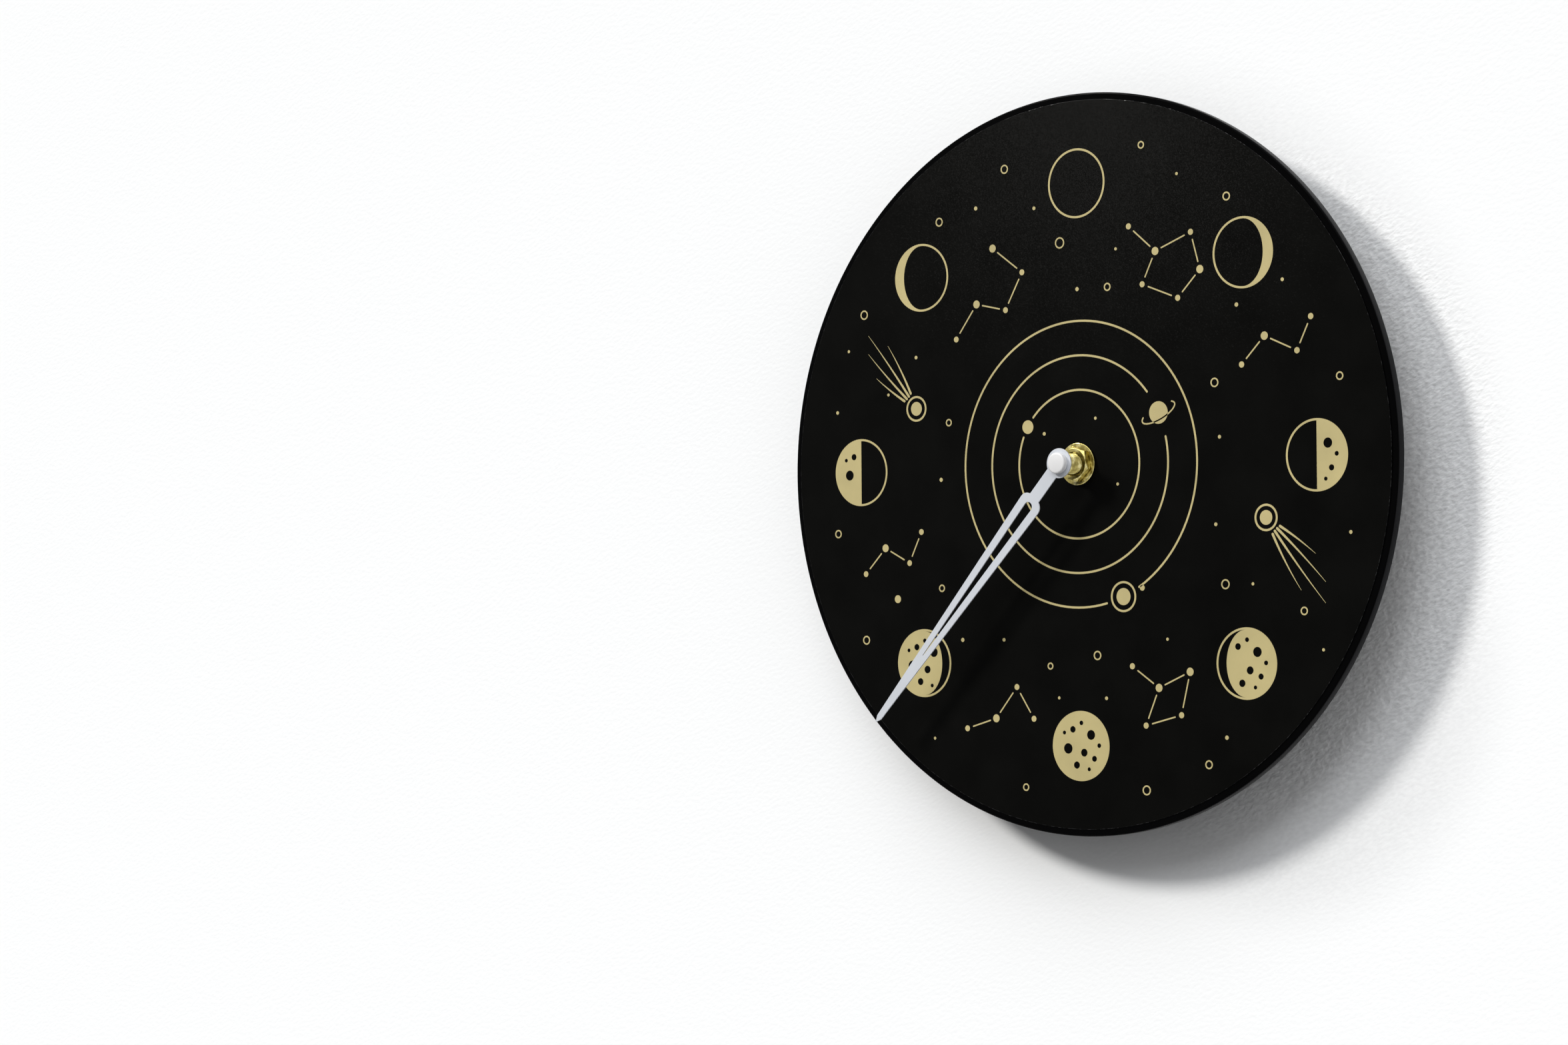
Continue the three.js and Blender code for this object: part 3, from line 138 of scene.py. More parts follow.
# Brass clamp
THREAD_RADIUS = 4
THREAD_CLEARANCE = 0.15
HUB_HOLE = THREAD_RADIUS + THREAD_CLEARANCE
THREAD_PITCH = 0.75
THREAD_DEPTH = 0.34
THREAD_CREST = 0.2
THREAD_STEPS = 6
NECK_BORE = 1.58
NECK_CHAMFER = 0.4
FLANGE_THICKNESS = 1
WASHER_EDGE = 0.28
NUT_ACROSS_FLATS = 12
NUT_SIDE = math.pi / 3
NUT_TURN = math.radians(42.9)
NUT_FACE = 5.75
NUT_CHAMFER_ANGLE = math.radians(30)
NUT_COUNTERSINK = 0.45
NUT_EDGE = 0.09

# Hand, drawn pointing up
HAND_ANGLE = math.radians(222.5)
HAND_LENGTH = 132.35
HAND_BOSS_RADIUS = 5.6
HAND_BOSS_STEPS = 64
HAND_STEM = 5.2
HAND_STEM_LENGTH = 17.3
HAND_SHOULDER_RADIUS = 3.5
HAND_SHOULDER_STEPS = 14
HAND_BLADE = 10.34
HAND_POINT = 2.44
HAND_POINT_LENGTH = 2.35
HAND_SLOT_START = 19.8
HAND_SLOT_LENGTH = 77.7
HAND_SLOT_WIDTH = 3.74
HAND_SLOT_END = 0.3
HAND_SLOT_STEPS = 24
HAND_EYE_RADIUS = 2.45
HAND_EYE_SIDES = 48
HAND_EDGE = 0.07
CAP_EDGE = 0.75
CAP_FOOT_EDGE = 0.15
CAP_DOME = 0.12
CAP_RECESS = 0.7

# Gold print
INK_THICKNESS = 0.04
INK_WELD = 0.001
LINE = 0.8
FINE_LINE = 0.55
LINE_END_STEPS = 8
PHASE_COUNT = 8
PHASE_RING = 106
PHASE_RADIUS = 12.8
LIMB_STEPS = 36

# Craters of a moon of radius 1: right, up, radius
CRATERS = (
    (0.38, 0.34, 0.15), (-0.3, 0.5, 0.1), (0.12, -0.2, 0.12), (-0.48, -0.08, 0.16), (0.5, -0.38, 0.09),
    (-0.16, -0.58, 0.11), (0.02, 0.7, 0.07), (0.68, 0.02, 0.07), (-0.62, 0.4, 0.06), (0.3, -0.7, 0.06),
)
CRATER_SIDES = 24
CRATER_MARGIN = 0.08
CRATER_LIMIT = 0.9

# Orbits from the inside out, each with its planet's clock angle and radius and the gap on each side of it
ORBITS = (28, 41, 54)
ORBIT_STEPS = 120
PLANET_ANGLES = (302, 64, 158)
PLANET_RADII = (2.6, 4.2, 3.2)
PLANET_GAPS = (4.4, 9.5, 8)

# The middle planet's ring: half width, half height, and its lean, start and sweep in degrees
RING_SHAPE = (8, 2.6, 24, 152, 236)
RING_STEPS = 40
FAR_HALO_RADIUS = 5.4
FAR_MOON_PLACE = (8.6, 3.2)
FAR_MOON_RADIUS = 1.1

# Comets: where the head stands, the clock angle that the tails run to, and their length
COMETS = {
    "comet_left": ((-78, 24), 318, 38),
    "comet_right": ((84, -22), 138, 40),
}
COMET_HEAD_RADIUS = 2.7
COMET_RING_RADIUS = 4.6

# Tails of a comet: lean, share of the length, start
COMET_TAILS = ((-0.34, 0.74, 6.4), (-0.1, 1.0, 6.2), (0.14, 0.86, 6.2), (0.38, 0.6, 6.4))
TAIL_STEPS = 24
TAIL_BOW = 0.45
TAIL_WIDTH = 1.25 * LINE
TAIL_POINT = 0.12

# Star maps: where the stars stand, and the order in which lines join them
STAR_MAPS = {
    "star_map_top_left": (
        [(-58, 50), (-48, 63), (-34, 60), (-26, 74), (-40, 84)],
        (0, 1, 2, 3, 4),
    ),
    "star_map_top_right": (
        [(24, 88), (36, 78), (30, 66), (46, 60), (56, 70), (52, 84)],
        (0, 1, 2, 3, 4, 5, 1),
    ),
    "star_map_right": (
        [(74, 34), (84, 44), (98, 38), (104, 50)],
        (0, 1, 2, 3),
    ),
    "star_map_bottom_right": (
        [(24, -76), (36, -84), (30, -98), (46, -94), (50, -78)],
        (0, 1, 2, 3, 4, 1),
    ),
    "star_map_bottom_left": (
        [(-54, -100), (-40, -96), (-30, -84), (-22, -96)],
        (0, 1, 2, 3),
    ),
    "star_map_left": (
        [(-104, -40), (-94, -30), (-82, -36), (-76, -24), (-88, -50)],
        (0, 1, 2, 3),
    ),
}
STAR_RADIUS = 1.15
BRIGHT_STAR_RADIUS = 1.55
STAR_SIDES = 20
STAR_GAP = 3

# Small rings and dots: right, up, radius
SMALL_RINGS = (
    (-8, 84, 1.9), (14, 66, 1.3), (-66, 96, 1.5), (68, 96, 1.4), (-104, 62, 1.6),
    (116, 28, 1.3), (-118, -24, 1.4), (62, 28, 1.5), (-62, 18, 1.2), (66, -46, 1.6),
    (100, -56, 1.3), (8, -72, 1.5), (-14, -76, 1.1), (58, -112, 1.4), (-66, -46, 1.2),
    (-104, -66, 1.5), (-26, -122, 1.2), (30, -122, 1.6), (30, 118, 1.2), (-34, 114, 1.5),
)
SMALL_RING_STEPS = 24
SMALL_DOTS = (
    (-20, 98, 0.7), (18, 80, 0.6), (-78, 44, 0.7), (72, 56, 0.8), (-92, 30, 0.6), (64, 8, 0.7),
    (-66, -4, 0.8), (78, -46, 0.6), (-56, -66, 0.8), (12, -88, 0.7), (-10, -88, 0.6), (66, -102, 0.8),
    (-112, 48, 0.6), (92, 64, 0.7), (-48, 100, 0.8), (46, 106, 0.6), (-118, 24, 0.7), (120, -28, 0.7),
    (108, -70, 0.6), (-70, -104, 0.6), (0, 66, 0.8), (-36, -66, 0.7), (40, -66, 0.6), (62, -24, 0.7),
    (-16, 12, 0.7), (18, -8, 0.6), (8, 17, 0.6),
)
SMALL_DOT_SIDES = 16

# Movement behind the face
CASE_EDGE = 0.35
COVER_EDGE = 0.18
HANGER_EDGE = 0.16
KNOB_EDGE = 0.14
COVER_SCREW_EDGE = 0.06
COVER_SCREWS = 4
HANGER_SCREW_EDGE = 0.08
HANGER_SCREWS = 2

# Battery, with the corners of its ends: distance in from the side, distance from the end, rounding
BATTERY_FLAT_END = ((2.4, 0, 0.2), (2.2, 0.35, 0.2), (0.5, 0.35, 0.3), (0.25, 0.9, 0.2), (0, 1.1, 0.1))
BATTERY_SHOULDER = ((0, 0.9, 0.1), (0.25, 0.7, 0.2), (0.5, 0, 0.3))
BATTERY_BAND_END = 16
BATTERY_NUB_RADIUS = 2.7
BATTERY_NUB_LENGTH = 1.4
BATTERY_NUB_EDGE = 0.35

# Corners at the foot of the battery's nub: distance out from its side, distance from the shoulder, rounding
BATTERY_NUB_FOOT = ((0.6, 0, 0.1), (0, 0.3, 0.2))


# Meshes


def in_frame(x, up, out):
    """A place in the shared frame, in metres."""
    return Vector((x, -out, up)) * MM


def depth(node):
    """How far a node's back and front stand out of the wall."""
    low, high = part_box(node)
    return -high[1] / MM, -low[1] / MM


def half_width(node):
    low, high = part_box(node)
    return (high[0] - low[0]) / 2 / MM


def soften(corners):
    """Rounds each corner (a, b, radius) of a closed outline."""
    path = []
    count = len(corners)
    for i, (a, b, radius) in enumerate(corners):
        here = Vector((a, b))
        if radius == 0:
            path.append(here)
            continue
        before = (Vector(corners[i - 1][:2]) - here).normalized()
        after = (Vector(corners[(i + 1) % count][:2]) - here).normalized()
        half = before.angle(after) / 2
        middle = here + (before + after).normalized() * radius / math.sin(half)
        start = here + before * radius / math.tan(half) - middle
        end = here + after * radius / math.tan(half) - middle
        first = math.atan2(start.y, start.x)
        sweep = (math.atan2(end.y, end.x) - first + math.pi) % math.tau - math.pi
        for step in range(ROUND_STEPS + 1):
            turn = first + sweep * step / ROUND_STEPS
            path.append(middle + radius * Vector((math.cos(turn), math.sin(turn))))
    return path


def ring_faces(rings):
    """Faces between each ring of vertex numbers and the next, and from the last ring to the first."""
    faces = []
    for a, b in zip(rings, rings[1:] + rings[:1]):
        for side in range(len(a)):
            after = (side + 1) % len(a)
            face = list(dict.fromkeys([a[side], a[after], b[after], b[side]]))
            if len(face) > 2:
                faces.append(face)
    return faces


def turned(profile, sides=HUB_SIDES, reach=None):
    """Turns a profile of (radius, out) round the hub; reach(radius, turn, out) may change each radius."""
    vertices = []
    rings = []
    for radius, out in profile:
        if radius == 0:
            rings.append([len(vertices)] * sides)
            vertices.append((0, 0, out))
            continue
        rings.append(list(range(len(vertices), len(vertices) + sides)))
        for side in range(sides):
            turn = math.tau * side / sides
            here = reach(radius, turn, out) if reach else radius
            vertices.append((here * math.cos(turn), here * math.sin(turn), out))
    return vertices, ring_faces(rings)


def new_object(name, mesh, materials, body, nodes=()):
    """Puts a finished mesh on a body, in place of the solids that it stands for."""
    mesh.materials.clear()
    for material in materials:
        mesh.materials.append(material)
    obj = bpy.data.objects.new(name, mesh)
    bpy.context.scene.collection.objects.link(obj)
    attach(obj, body)
    if nodes:
        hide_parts(*nodes)
    return obj


def smooth(mesh):
    for polygon in mesh.polygons:
        polygon.use_smooth = True
    mesh.set_sharp_from_angle(angle=SHARP_ANGLE)


def mesh_of(name, shape):
    vertices, faces = shape
    mesh = bpy.data.meshes.new(name)
    mesh.from_pydata([in_frame(*vertex) for vertex in vertices], [], faces)
    solid = bmesh.new()
    solid.from_mesh(mesh)
    bmesh.ops.recalc_face_normals(solid, faces=solid.faces[:])
    solid.to_mesh(mesh)
    solid.free()
    smooth(mesh)
    return mesh


def round_edges(obj, width):
    edge = obj.modifiers.new("round_edges", "BEVEL")
    edge.width = width * MM
    edge.segments = BEVEL_SEGMENTS
    edge.limit_method = "ANGLE"
    edge.angle_limit = BEVEL_FROM
    edge.harden_normals = True


def rounded_copy(name, node, material, body, width):
    """A node's own form with its flat faces joined up and its edges rounded."""
    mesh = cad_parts[node].data.copy()
    mesh.name = name
    solid = bmesh.new()
    solid.from_mesh(mesh)
    bmesh.ops.remove_doubles(solid, verts=solid.verts[:], dist=WELD * MM)
    bmesh.ops.dissolve_limit(solid, angle_limit=FLAT_WITHIN, verts=solid.verts[:], edges=solid.edges[:])
    solid.to_mesh(mesh)
    solid.free()
    smooth(mesh)
    obj = new_object(name, mesh, [material], body, [node])
    round_edges(obj, width)


# Shader nodes; the owner of a node is a material or the world


def add_node(owner, kind):
    return owner.node_tree.nodes.new(kind)


def join(owner, source, target):
    owner.node_tree.links.new(source, target)


def worked(owner, operation, *sources):
    """Works values, each a socket or a number, into one."""
    node = add_node(owner, "ShaderNodeMath")
    node.operation = operation
    for source, target in zip(sources, node.inputs):
        if isinstance(source, bpy.types.NodeSocket):
            join(owner, source, target)
        else:
            target.default_value = source
    return node.outputs["Value"]


def shader_of(material):
    return material.node_tree.nodes["Principled BSDF"]


def feed(material, socket, source):
    """Lets a texture set one of the shader's values."""
    join(material, source, shader_of(material).inputs[socket])


def start_material(name, colour, roughness, metallic=0.0, specular=0.5):
    material = bpy.data.materials.new(name)
    material.use_nodes = True
    values = shader_of(material).inputs
    values["Base Color"].default_value = (*colour, 1)
    values["Roughness"].default_value = roughness
    values["Metallic"].default_value = metallic
    values["Specular IOR Level"].default_value = specular
    return material


def scaled_place(material, size, stretch=(1, 1, 1), lean=0.0):
    """The piece's own coordinates, counted in cells of a size that may lean in the wall's plane."""
    place = add_node(material, "ShaderNodeTexCoord")
    scale = add_node(material, "ShaderNodeMapping")
    scale.vector_type = "TEXTURE"
    scale.inputs["Rotation"].default_value = (0, -lean, 0)
    scale.inputs["Scale"].default_value = [size * MM * each for each in stretch]
    join(material, place.outputs["Object"], scale.inputs["Vector"])
    return scale.outputs["Vector"]


def noise(material, size, detail, stretch=(1, 1, 1), lean=0.0):
    texture = add_node(material, "ShaderNodeTexNoise")
    texture.inputs["Scale"].default_value = 1
    texture.inputs["Detail"].default_value = detail
    join(material, scaled_place(material, size, stretch, lean), texture.inputs["Vector"])
    return texture.outputs["Fac"]


def waves(material, pitch):
    """A wave texture with one wave for each pitch."""
    texture = add_node(material, "ShaderNodeTexWave")
    texture.inputs["Scale"].default_value = WAVE_PER_CELL
    join(material, scaled_place(material, pitch), texture.inputs["Vector"])
    return texture


def turning_lines(material, pitch):
    """Fine rings round the hub's axis, as a lathe leaves them."""
    texture = waves(material, pitch)
    texture.wave_type = "RINGS"
    texture.rings_direction = "Y"
    texture.inputs["Distortion"].default_value = 0.6
    return texture.outputs["Fac"]


def between(material, source, low, high, start=NOISE_LOW, end=NOISE_HIGH):
    """Turns a value that runs from start to end into one that runs from low to high."""
    node = add_node(material, "ShaderNodeMapRange")
    node.inputs["From Min"].default_value = start
    node.inputs["From Max"].default_value = end
    node.inputs["To Min"].default_value = low
    node.inputs["To Max"].default_value = high
    join(material, source, node.inputs["Value"])
    return node.outputs["Result"]


def colours(material, source, stops):
    """Turns a value into a colour."""
    node = add_node(material, "ShaderNodeValToRGB")
    ramp = node.color_ramp
    while len(ramp.elements) < len(stops):
        ramp.elements.new(0.5)
    for element, (position, colour) in zip(ramp.elements, stops):
        element.position = position
        element.color = (*colour, 1)
    join(material, source, node.inputs["Fac"])
    return node.outputs["Color"]


def relief(material, source, height):
    """Adds a bump over any that is there."""
    node = add_node(material, "ShaderNodeBump")
    node.inputs["Distance"].default_value = height * MM
    node.inputs["Strength"].default_value = 1
    join(material, source, node.inputs["Height"])
    normal = shader_of(material).inputs["Normal"]
    if normal.is_linked:
        join(material, normal.links[0].from_socket, node.inputs["Normal"])
    join(material, node.outputs["Normal"], normal)
    return node


# Materials


def tint(colour, factor):
    return tuple(min(1.0, each * factor) for each in colour)


def plain_finish(name, colour, roughness, grain, height, contrast, metallic=0.0, specular=0.5):
    """A finish with cloudy colour of some contrast, uneven gloss and a grain of some size and height."""
    material = start_material(name, colour, roughness, metallic, specular)
    cloud = noise(material, CLOUD_SIZE, detail=4)
    stops = [(NOISE_LOW, tint(colour, 1 - contrast)), (NOISE_HIGH, tint(colour, 1 + contrast))]
    feed(material, "Base Color", colours(material, cloud, stops))
    fine = noise(material, grain, detail=3)
    rougher = min(1.0, roughness * (1 + GLOSS_SWING))
    feed(material, "Roughness", between(material, fine, roughness * (1 - GLOSS_SWING), rougher))
    relief(material, fine, height)
    return material


def black_lacquer():
    colour = (0.0007, 0.0007, 0.0008)
    return plain_finish(
        "black_lacquer", colour, roughness=0.2, grain=0.9, height=0.003, contrast=0.15, specular=0.016
    )


def routed_edge():
    """The board's cut edge, painted but not polished."""
    colour = (0.006, 0.006, 0.0068)
    return plain_finish(
        "routed_edge", colour, roughness=0.36, grain=0.6, height=0.012, contrast=0.2, specular=0.055
    )


def board_back():
    """The board's unpolished back."""
    colour = (0.014, 0.0137, 0.0133)
    return plain_finish(
        "board_back", colour, roughness=0.62, grain=0.7, height=0.05, contrast=0.25, specular=0.12
    )


def flake_normal(material):
    """The surface's normal leaned upwards, a little differently in each cell of a fine pattern."""
    cells = add_node(material, "ShaderNodeTexVoronoi")
    cells.inputs["Scale"].default_value = 1
    join(material, scaled_place(material, FLAKE_SIZE), cells.inputs["Vector"])
    lean = add_node(material, "ShaderNodeVectorMath")
    lean.operation = "MULTIPLY_ADD"
    lean.inputs[1].default_value = (2 * FLAKE_SPREAD, 0, 2 * FLAKE_SPREAD)
    lean.inputs[2].default_value = (-FLAKE_SPREAD, 0, FLAKE_LEAN - FLAKE_SPREAD)
    join(material, cells.outputs["Color"], lean.inputs[0])
    surface = add_node(material, "ShaderNodeNewGeometry")
    total = add_node(material, "ShaderNodeVectorMath")
    join(material, lean.outputs["Vector"], total.inputs[0])
    join(material, surface.outputs["Normal"], total.inputs[1])
    unit = add_node(material, "ShaderNodeVectorMath")
    unit.operation = "NORMALIZE"
    join(material, total.outputs["Vector"], unit.inputs[0])
    return unit.outputs["Vector"]


def dial_film():
    """Matte black film with a faint grain of flakes that lean upwards."""
    colour = (0.0034, 0.0034, 0.0031)
    material = plain_finish(
        "dial_film", colour, roughness=0.4, grain=0.35, height=0.008, contrast=0.2, specular=0.0079
    )
    feed(material, "Coat Normal", flake_normal(material))
    values = shader_of(material).inputs
    values["Coat Weight"].default_value = FLAKE_WEIGHT
    values["Coat Roughness"].default_value = FLAKE_ROUGHNESS
    return material


def film_edge():
    """The film's cut edge, which glints here and there."""
    colour = (0.004, 0.004, 0.0041)
    material = plain_finish("film_edge", colour, roughness=0.16, grain=0.5, height=0.01, contrast=0.5)
    glints = noise(material, size=1.2, detail=4)
    shine = between(material, glints, low=0.03, high=0.4, start=0.5, end=0.62)
    feed(material, "Specular IOR Level", shine)
    relief(material, noise(material, size=1.6, detail=3), height=0.15)
    return material


def gold_ink():
    colour = (0.44, 0.37, 0.168)
    return plain_finish(
        "gold_ink", colour, roughness=0.46, grain=0.3, height=0.012, contrast=0.1, metallic=0.15
    )


def brass(name, roughness, lines=None):
    """Stained brass, darker than bare brass as a painted reflection of dark surroundings, with the marks of
    a lathe where lines gives their pitch.
    """
    # Painted reflection: these colours are darker than bare brass, standing in for dark surroundings seen
    # in it; the stain across them is random
    dark = (0.24, 0.195, 0.055)
    plain = (0.41, 0.345, 0.12)
    bright = (0.72, 0.65, 0.33)
    material = start_material(name, plain, roughness, metallic=1.0)
    stain = noise(material, size=2.2, detail=4)
    feed(material, "Base Color", colours(material, stain, [(0.35, dark), (0.52, plain), (0.68, bright)]))
    smear = noise(material, size=0.8, detail=3)
    feed(material, "Roughness", between(material, smear, roughness * 0.75, roughness * 1.4))
    if lines:
        relief(material, turning_lines(material, lines), height=0.006)
    relief(material, noise(material, size=0.35, detail=3), height=0.006)
    return material


def hand_paint():
    colour = (0.565, 0.59, 0.635)
    return plain_finish("hand_paint", colour, roughness=0.4, grain=0.45, height=0.006, contrast=0.035)


def cap_plastic():
    colour = (0.72, 0.72, 0.726)
    material = plain_finish("cap_plastic", colour, roughness=0.34, grain=0.5, height=0.005, contrast=0.03)
    values = shader_of(material).inputs
    values["Subsurface Weight"].default_value = 0.15
    values["Subsurface Radius"].default_value = (MM, MM, MM)
    return material


def case_plastic():
    colour = (0.03, 0.03, 0.031)
    return plain_finish("case_plastic", colour, roughness=0.46, grain=0.28, height=0.03, contrast=0.15)


def black_rubber():
    colour = (0.016, 0.016, 0.016)
    return plain_finish("black_rubber", colour, roughness=0.75, grain=0.4, height=0.03, contrast=0.2)


def brushed_zinc():
    """Plated steel, brushed along x."""
    dark = (0.4, 0.4, 0.39)
    plain = (0.5, 0.5, 0.49)
    bright = (0.58, 0.58, 0.57)
    material = start_material("brushed_zinc", plain, roughness=0.32, metallic=1.0)
    brush = noise(material, size=0.25, detail=3, stretch=(12, 1, 1))
    cloud = noise(material, size=5, detail=4)
    feed(material, "Base Color", colours(material, cloud, [(0.25, dark), (0.75, bright)]))
    feed(material, "Roughness", between(material, brush, low=0.24, high=0.42))
    relief(material, brush, height=0.006)
    return material


def jacket_film():
    colour = (0.02, 0.02, 0.021)
    return plain_finish("jacket_film", colour, roughness=0.3, grain=0.6, height=0.005, contrast=0.2)


def jacket_band():
    colour = (0.34, 0.345, 0.35)
    return plain_finish("jacket_band", colour, roughness=0.34, grain=0.6, height=0.003, contrast=0.06)


def gear_plastic():
    colour = (0.68, 0.63, 0.52)
    return plain_finish("gear_plastic", colour, roughness=0.42, grain=0.3, height=0.01, contrast=0.06)


def ground_magnet():
    colour = (0.05, 0.05, 0.055)
    return plain_finish(
        "ground_magnet", colour, roughness=0.35, grain=0.3, height=0.01, contrast=0.2, metallic=0.6
    )


def board_green():
    colour = (0.02, 0.1, 0.04)
    return plain_finish("board_green", colour, roughness=0.4, grain=0.5, height=0.01, contrast=0.15)


def chip_resin():
    colour = (0.004, 0.004, 0.004)
    return plain_finish("chip_resin", colour, roughness=0.28, grain=0.5, height=0.01, contrast=0.2)


def copper_wire():
    """Enamelled wire wound side by side along x, with painted shade in the grooves between the turns."""
    dark = (0.2, 0.05, 0.015)
    plain = (0.5, 0.16, 0.05)
    material = start_material("copper_wire", plain, roughness=0.3, metallic=1.0)
    texture = waves(material, pitch=0.16)
    texture.bands_direction = "X"
    turns = texture.outputs["Fac"]
    # Painted shade: the low part of each wave, the groove between two turns, is darker
    feed(material, "Base Color", colours(material, turns, [(0.1, dark), (0.6, plain)]))
    relief(material, turns, height=0.05)
    return material


def wall_patch(material, right, up, inner, outer):
    """A value that falls from 1 within a round patch to 0 outside it."""
    place = add_node(material, "ShaderNodeTexCoord")
    far = add_node(material, "ShaderNodeVectorMath")
    far.operation = "DISTANCE"
    far.inputs[1].default_value = in_frame(right, up, 0)
    join(material, place.outputs["Object"], far.inputs[0])
    fade = add_node(material, "ShaderNodeMapRange")
    fade.interpolation_type = "SMOOTHSTEP"
    fade.inputs["From Min"].default_value = outer * MM
    fade.inputs["From Max"].default_value = inner * MM
    join(material, far.outputs["Value"], fade.inputs["Value"])
    return fade.outputs["Result"]


def show_front_only(material):
    """Lets the camera see through the back of a surface, and lamps shine through it."""
    surface = add_node(material, "ShaderNodeNewGeometry")
    ray = add_node(material, "ShaderNodeLightPath")
    either = worked(material, "MAXIMUM", surface.outputs["Backfacing"], ray.outputs["Is Shadow Ray"])
    clear = add_node(material, "ShaderNodeBsdfTransparent")
    mix = add_node(material, "ShaderNodeMixShader")
    join(material, either, mix.inputs["Fac"])
    join(material, shader_of(material).outputs["BSDF"], mix.inputs[1])
    join(material, clear.outputs["BSDF"], mix.inputs[2])
    join(material, mix.outputs["Shader"], material.node_tree.nodes["Material Output"].inputs["Surface"])


def wall_paint():
    """White rolled paint with painted shade close round the clock and at its lower right, rougher to the
    right of it, where the streaks' tone swings more as painted shade of their relief.
    """
    material = start_material("wall_paint", WALL_WHITE, roughness=0.7, specular=0)
    # Painted shade: the wall turns greyer close round the clock and at its lower right
    painted_shade = worked(material, "MAXIMUM", wall_patch(material, *PAINTED_SHADE_HALO), wall_patch(material, *LOW_PAINTED_SHADE))
    rough_and_shaded = wall_patch(material, *ROUGH_AND_SHADED_PATCH)
    streaks = noise(material, STREAK_SIZE, detail=4, stretch=STREAK_STRETCH, lean=STREAK_LEAN)
    # The streaks' tone swings more in the rough patch, where the key's shadow falls, as painted shade of
    # their relief
    swing = between(material, rough_and_shaded, STREAK_SHADE_FAR, STREAK_SHADE_NEAR, start=0, end=1)
    shade = worked(material, "MULTIPLY_ADD", between(material, streaks, 0.5, -0.5), swing, 0.5)
    painted_shade_and_streaks = worked(material, "MULTIPLY", painted_shade, shade)
    feed(material, "Base Color", colours(material, painted_shade_and_streaks, [(0, WALL_WHITE), (1, WALL_SHADE_GREY)]))
    grain = relief(material, streaks, STREAK_HEIGHT)
    depth_of_grain = between(material, rough_and_shaded, STREAK_RELIEF_FAR, 1, start=0, end=1)
    join(material, depth_of_grain, grain.inputs["Strength"])
    show_front_only(material)
    return material


# Stage


def backdrop():
    profile = [(WALL_TOP, -WALL_GAP), (FLOOR_LEVEL + COVE_RADIUS, -WALL_GAP)]
    for step in range(1, COVE_STEPS + 1):
        turn = math.pi / 2 * step / COVE_STEPS
        up = FLOOR_LEVEL + COVE_RADIUS * (1 - math.sin(turn))
        out = COVE_RADIUS * (1 - math.cos(turn)) - WALL_GAP
        profile.append((up, out))
    profile.append((FLOOR_LEVEL, FLOOR_REACH))
    vertices = []
    for up, out in profile:
        vertices.append(in_frame(WALL_LEFT, up, out))
        vertices.append(in_frame(WALL_RIGHT, up, out))
    faces = [(2 * i + 2, 2 * i + 3, 2 * i + 1, 2 * i) for i in range(len(profile) - 1)]
    mesh = bpy.data.meshes.new("backdrop")
    mesh.from_pydata(vertices, [], faces)
    mesh.materials.append(wall_paint())
    for polygon in mesh.polygons:
        polygon.use_smooth = True
    obj = bpy.data.objects.new("backdrop", mesh)
    bpy.context.scene.collection.objects.link(obj)


def sun(name, direction, strength, angle, colour):
    lamp = bpy.data.lights.new(name, "SUN")
    lamp.color = colour
    lamp.energy = strength
    lamp.angle = angle
    obj = bpy.data.objects.new(name, lamp)
    obj.rotation_euler = Vector(direction).to_track_quat("Z", "Y").to_euler()
    bpy.context.scene.collection.objects.link(obj)


def sky():
    """Soft room light, brighter above and to the right; camera, metal and clear things see white there."""
    world = bpy.data.worlds.new("room")
    world.use_nodes = True
    bpy.context.scene.world = world
    place = add_node(world, "ShaderNodeTexCoord")
    lean = add_node(world, "ShaderNodeVectorMath")
    lean.operation = "DOT_PRODUCT"
    lean.inputs[1].default_value = SKY_LEAN
    join(world, place.outputs["Generated"], lean.inputs[0])
    level = worked(world, "ADD", lean.outputs["Value"], SKY_LEVEL)
    light = worked(world, "MAXIMUM", level, SKY_LEAST)
    ray = add_node(world, "ShaderNodeLightPath")
    seen = worked(world, "MAXIMUM", ray.outputs["Is Camera Ray"], ray.outputs["Is Glossy Ray"])
    shown = worked(world, "MAXIMUM", seen, ray.outputs["Is Transmission Ray"])
    strength = add_node(world, "ShaderNodeMix")
    strength.inputs["B"].default_value = 1
    join(world, shown, strength.inputs["Factor"])
    join(world, light, strength.inputs["A"])
    background = world.node_tree.nodes["Background"]
    background.inputs["Color"].default_value = (1, 1, 1, 1)
    join(world, strength.outputs["Result"], background.inputs["Strength"])


def camera():
    forward = Vector((
        -math.sin(CAMERA_YAW) * math.cos(CAMERA_PITCH),
        math.cos(CAMERA_YAW) * math.cos(CAMERA_PITCH),
        math.sin(CAMERA_PITCH),
    ))
    level = Vector((math.cos(CAMERA_YAW), math.sin(CAMERA_YAW), 0))
    upright = level.cross(forward)
    right = level * math.cos(CAMERA_ROLL) + upright * math.sin(CAMERA_ROLL)
    up = upright * math.cos(CAMERA_ROLL) - level * math.sin(CAMERA_ROLL)
    lens = bpy.data.cameras.new("camera")
    lens.lens = CAMERA_LENS
    lens.sensor_width = SENSOR_WIDTH
    lens.sensor_fit = "HORIZONTAL"
    lens.clip_start = CAMERA_NEAR
    obj = bpy.data.objects.new("camera", lens)
    turn = Matrix((right, up, -forward)).transposed()
    obj.matrix_world = Matrix.Translation(CAMERA_PLACE) @ turn.to_4x4()
    bpy.context.scene.collection.objects.link(obj)
    bpy.context.scene.camera = obj


# Face


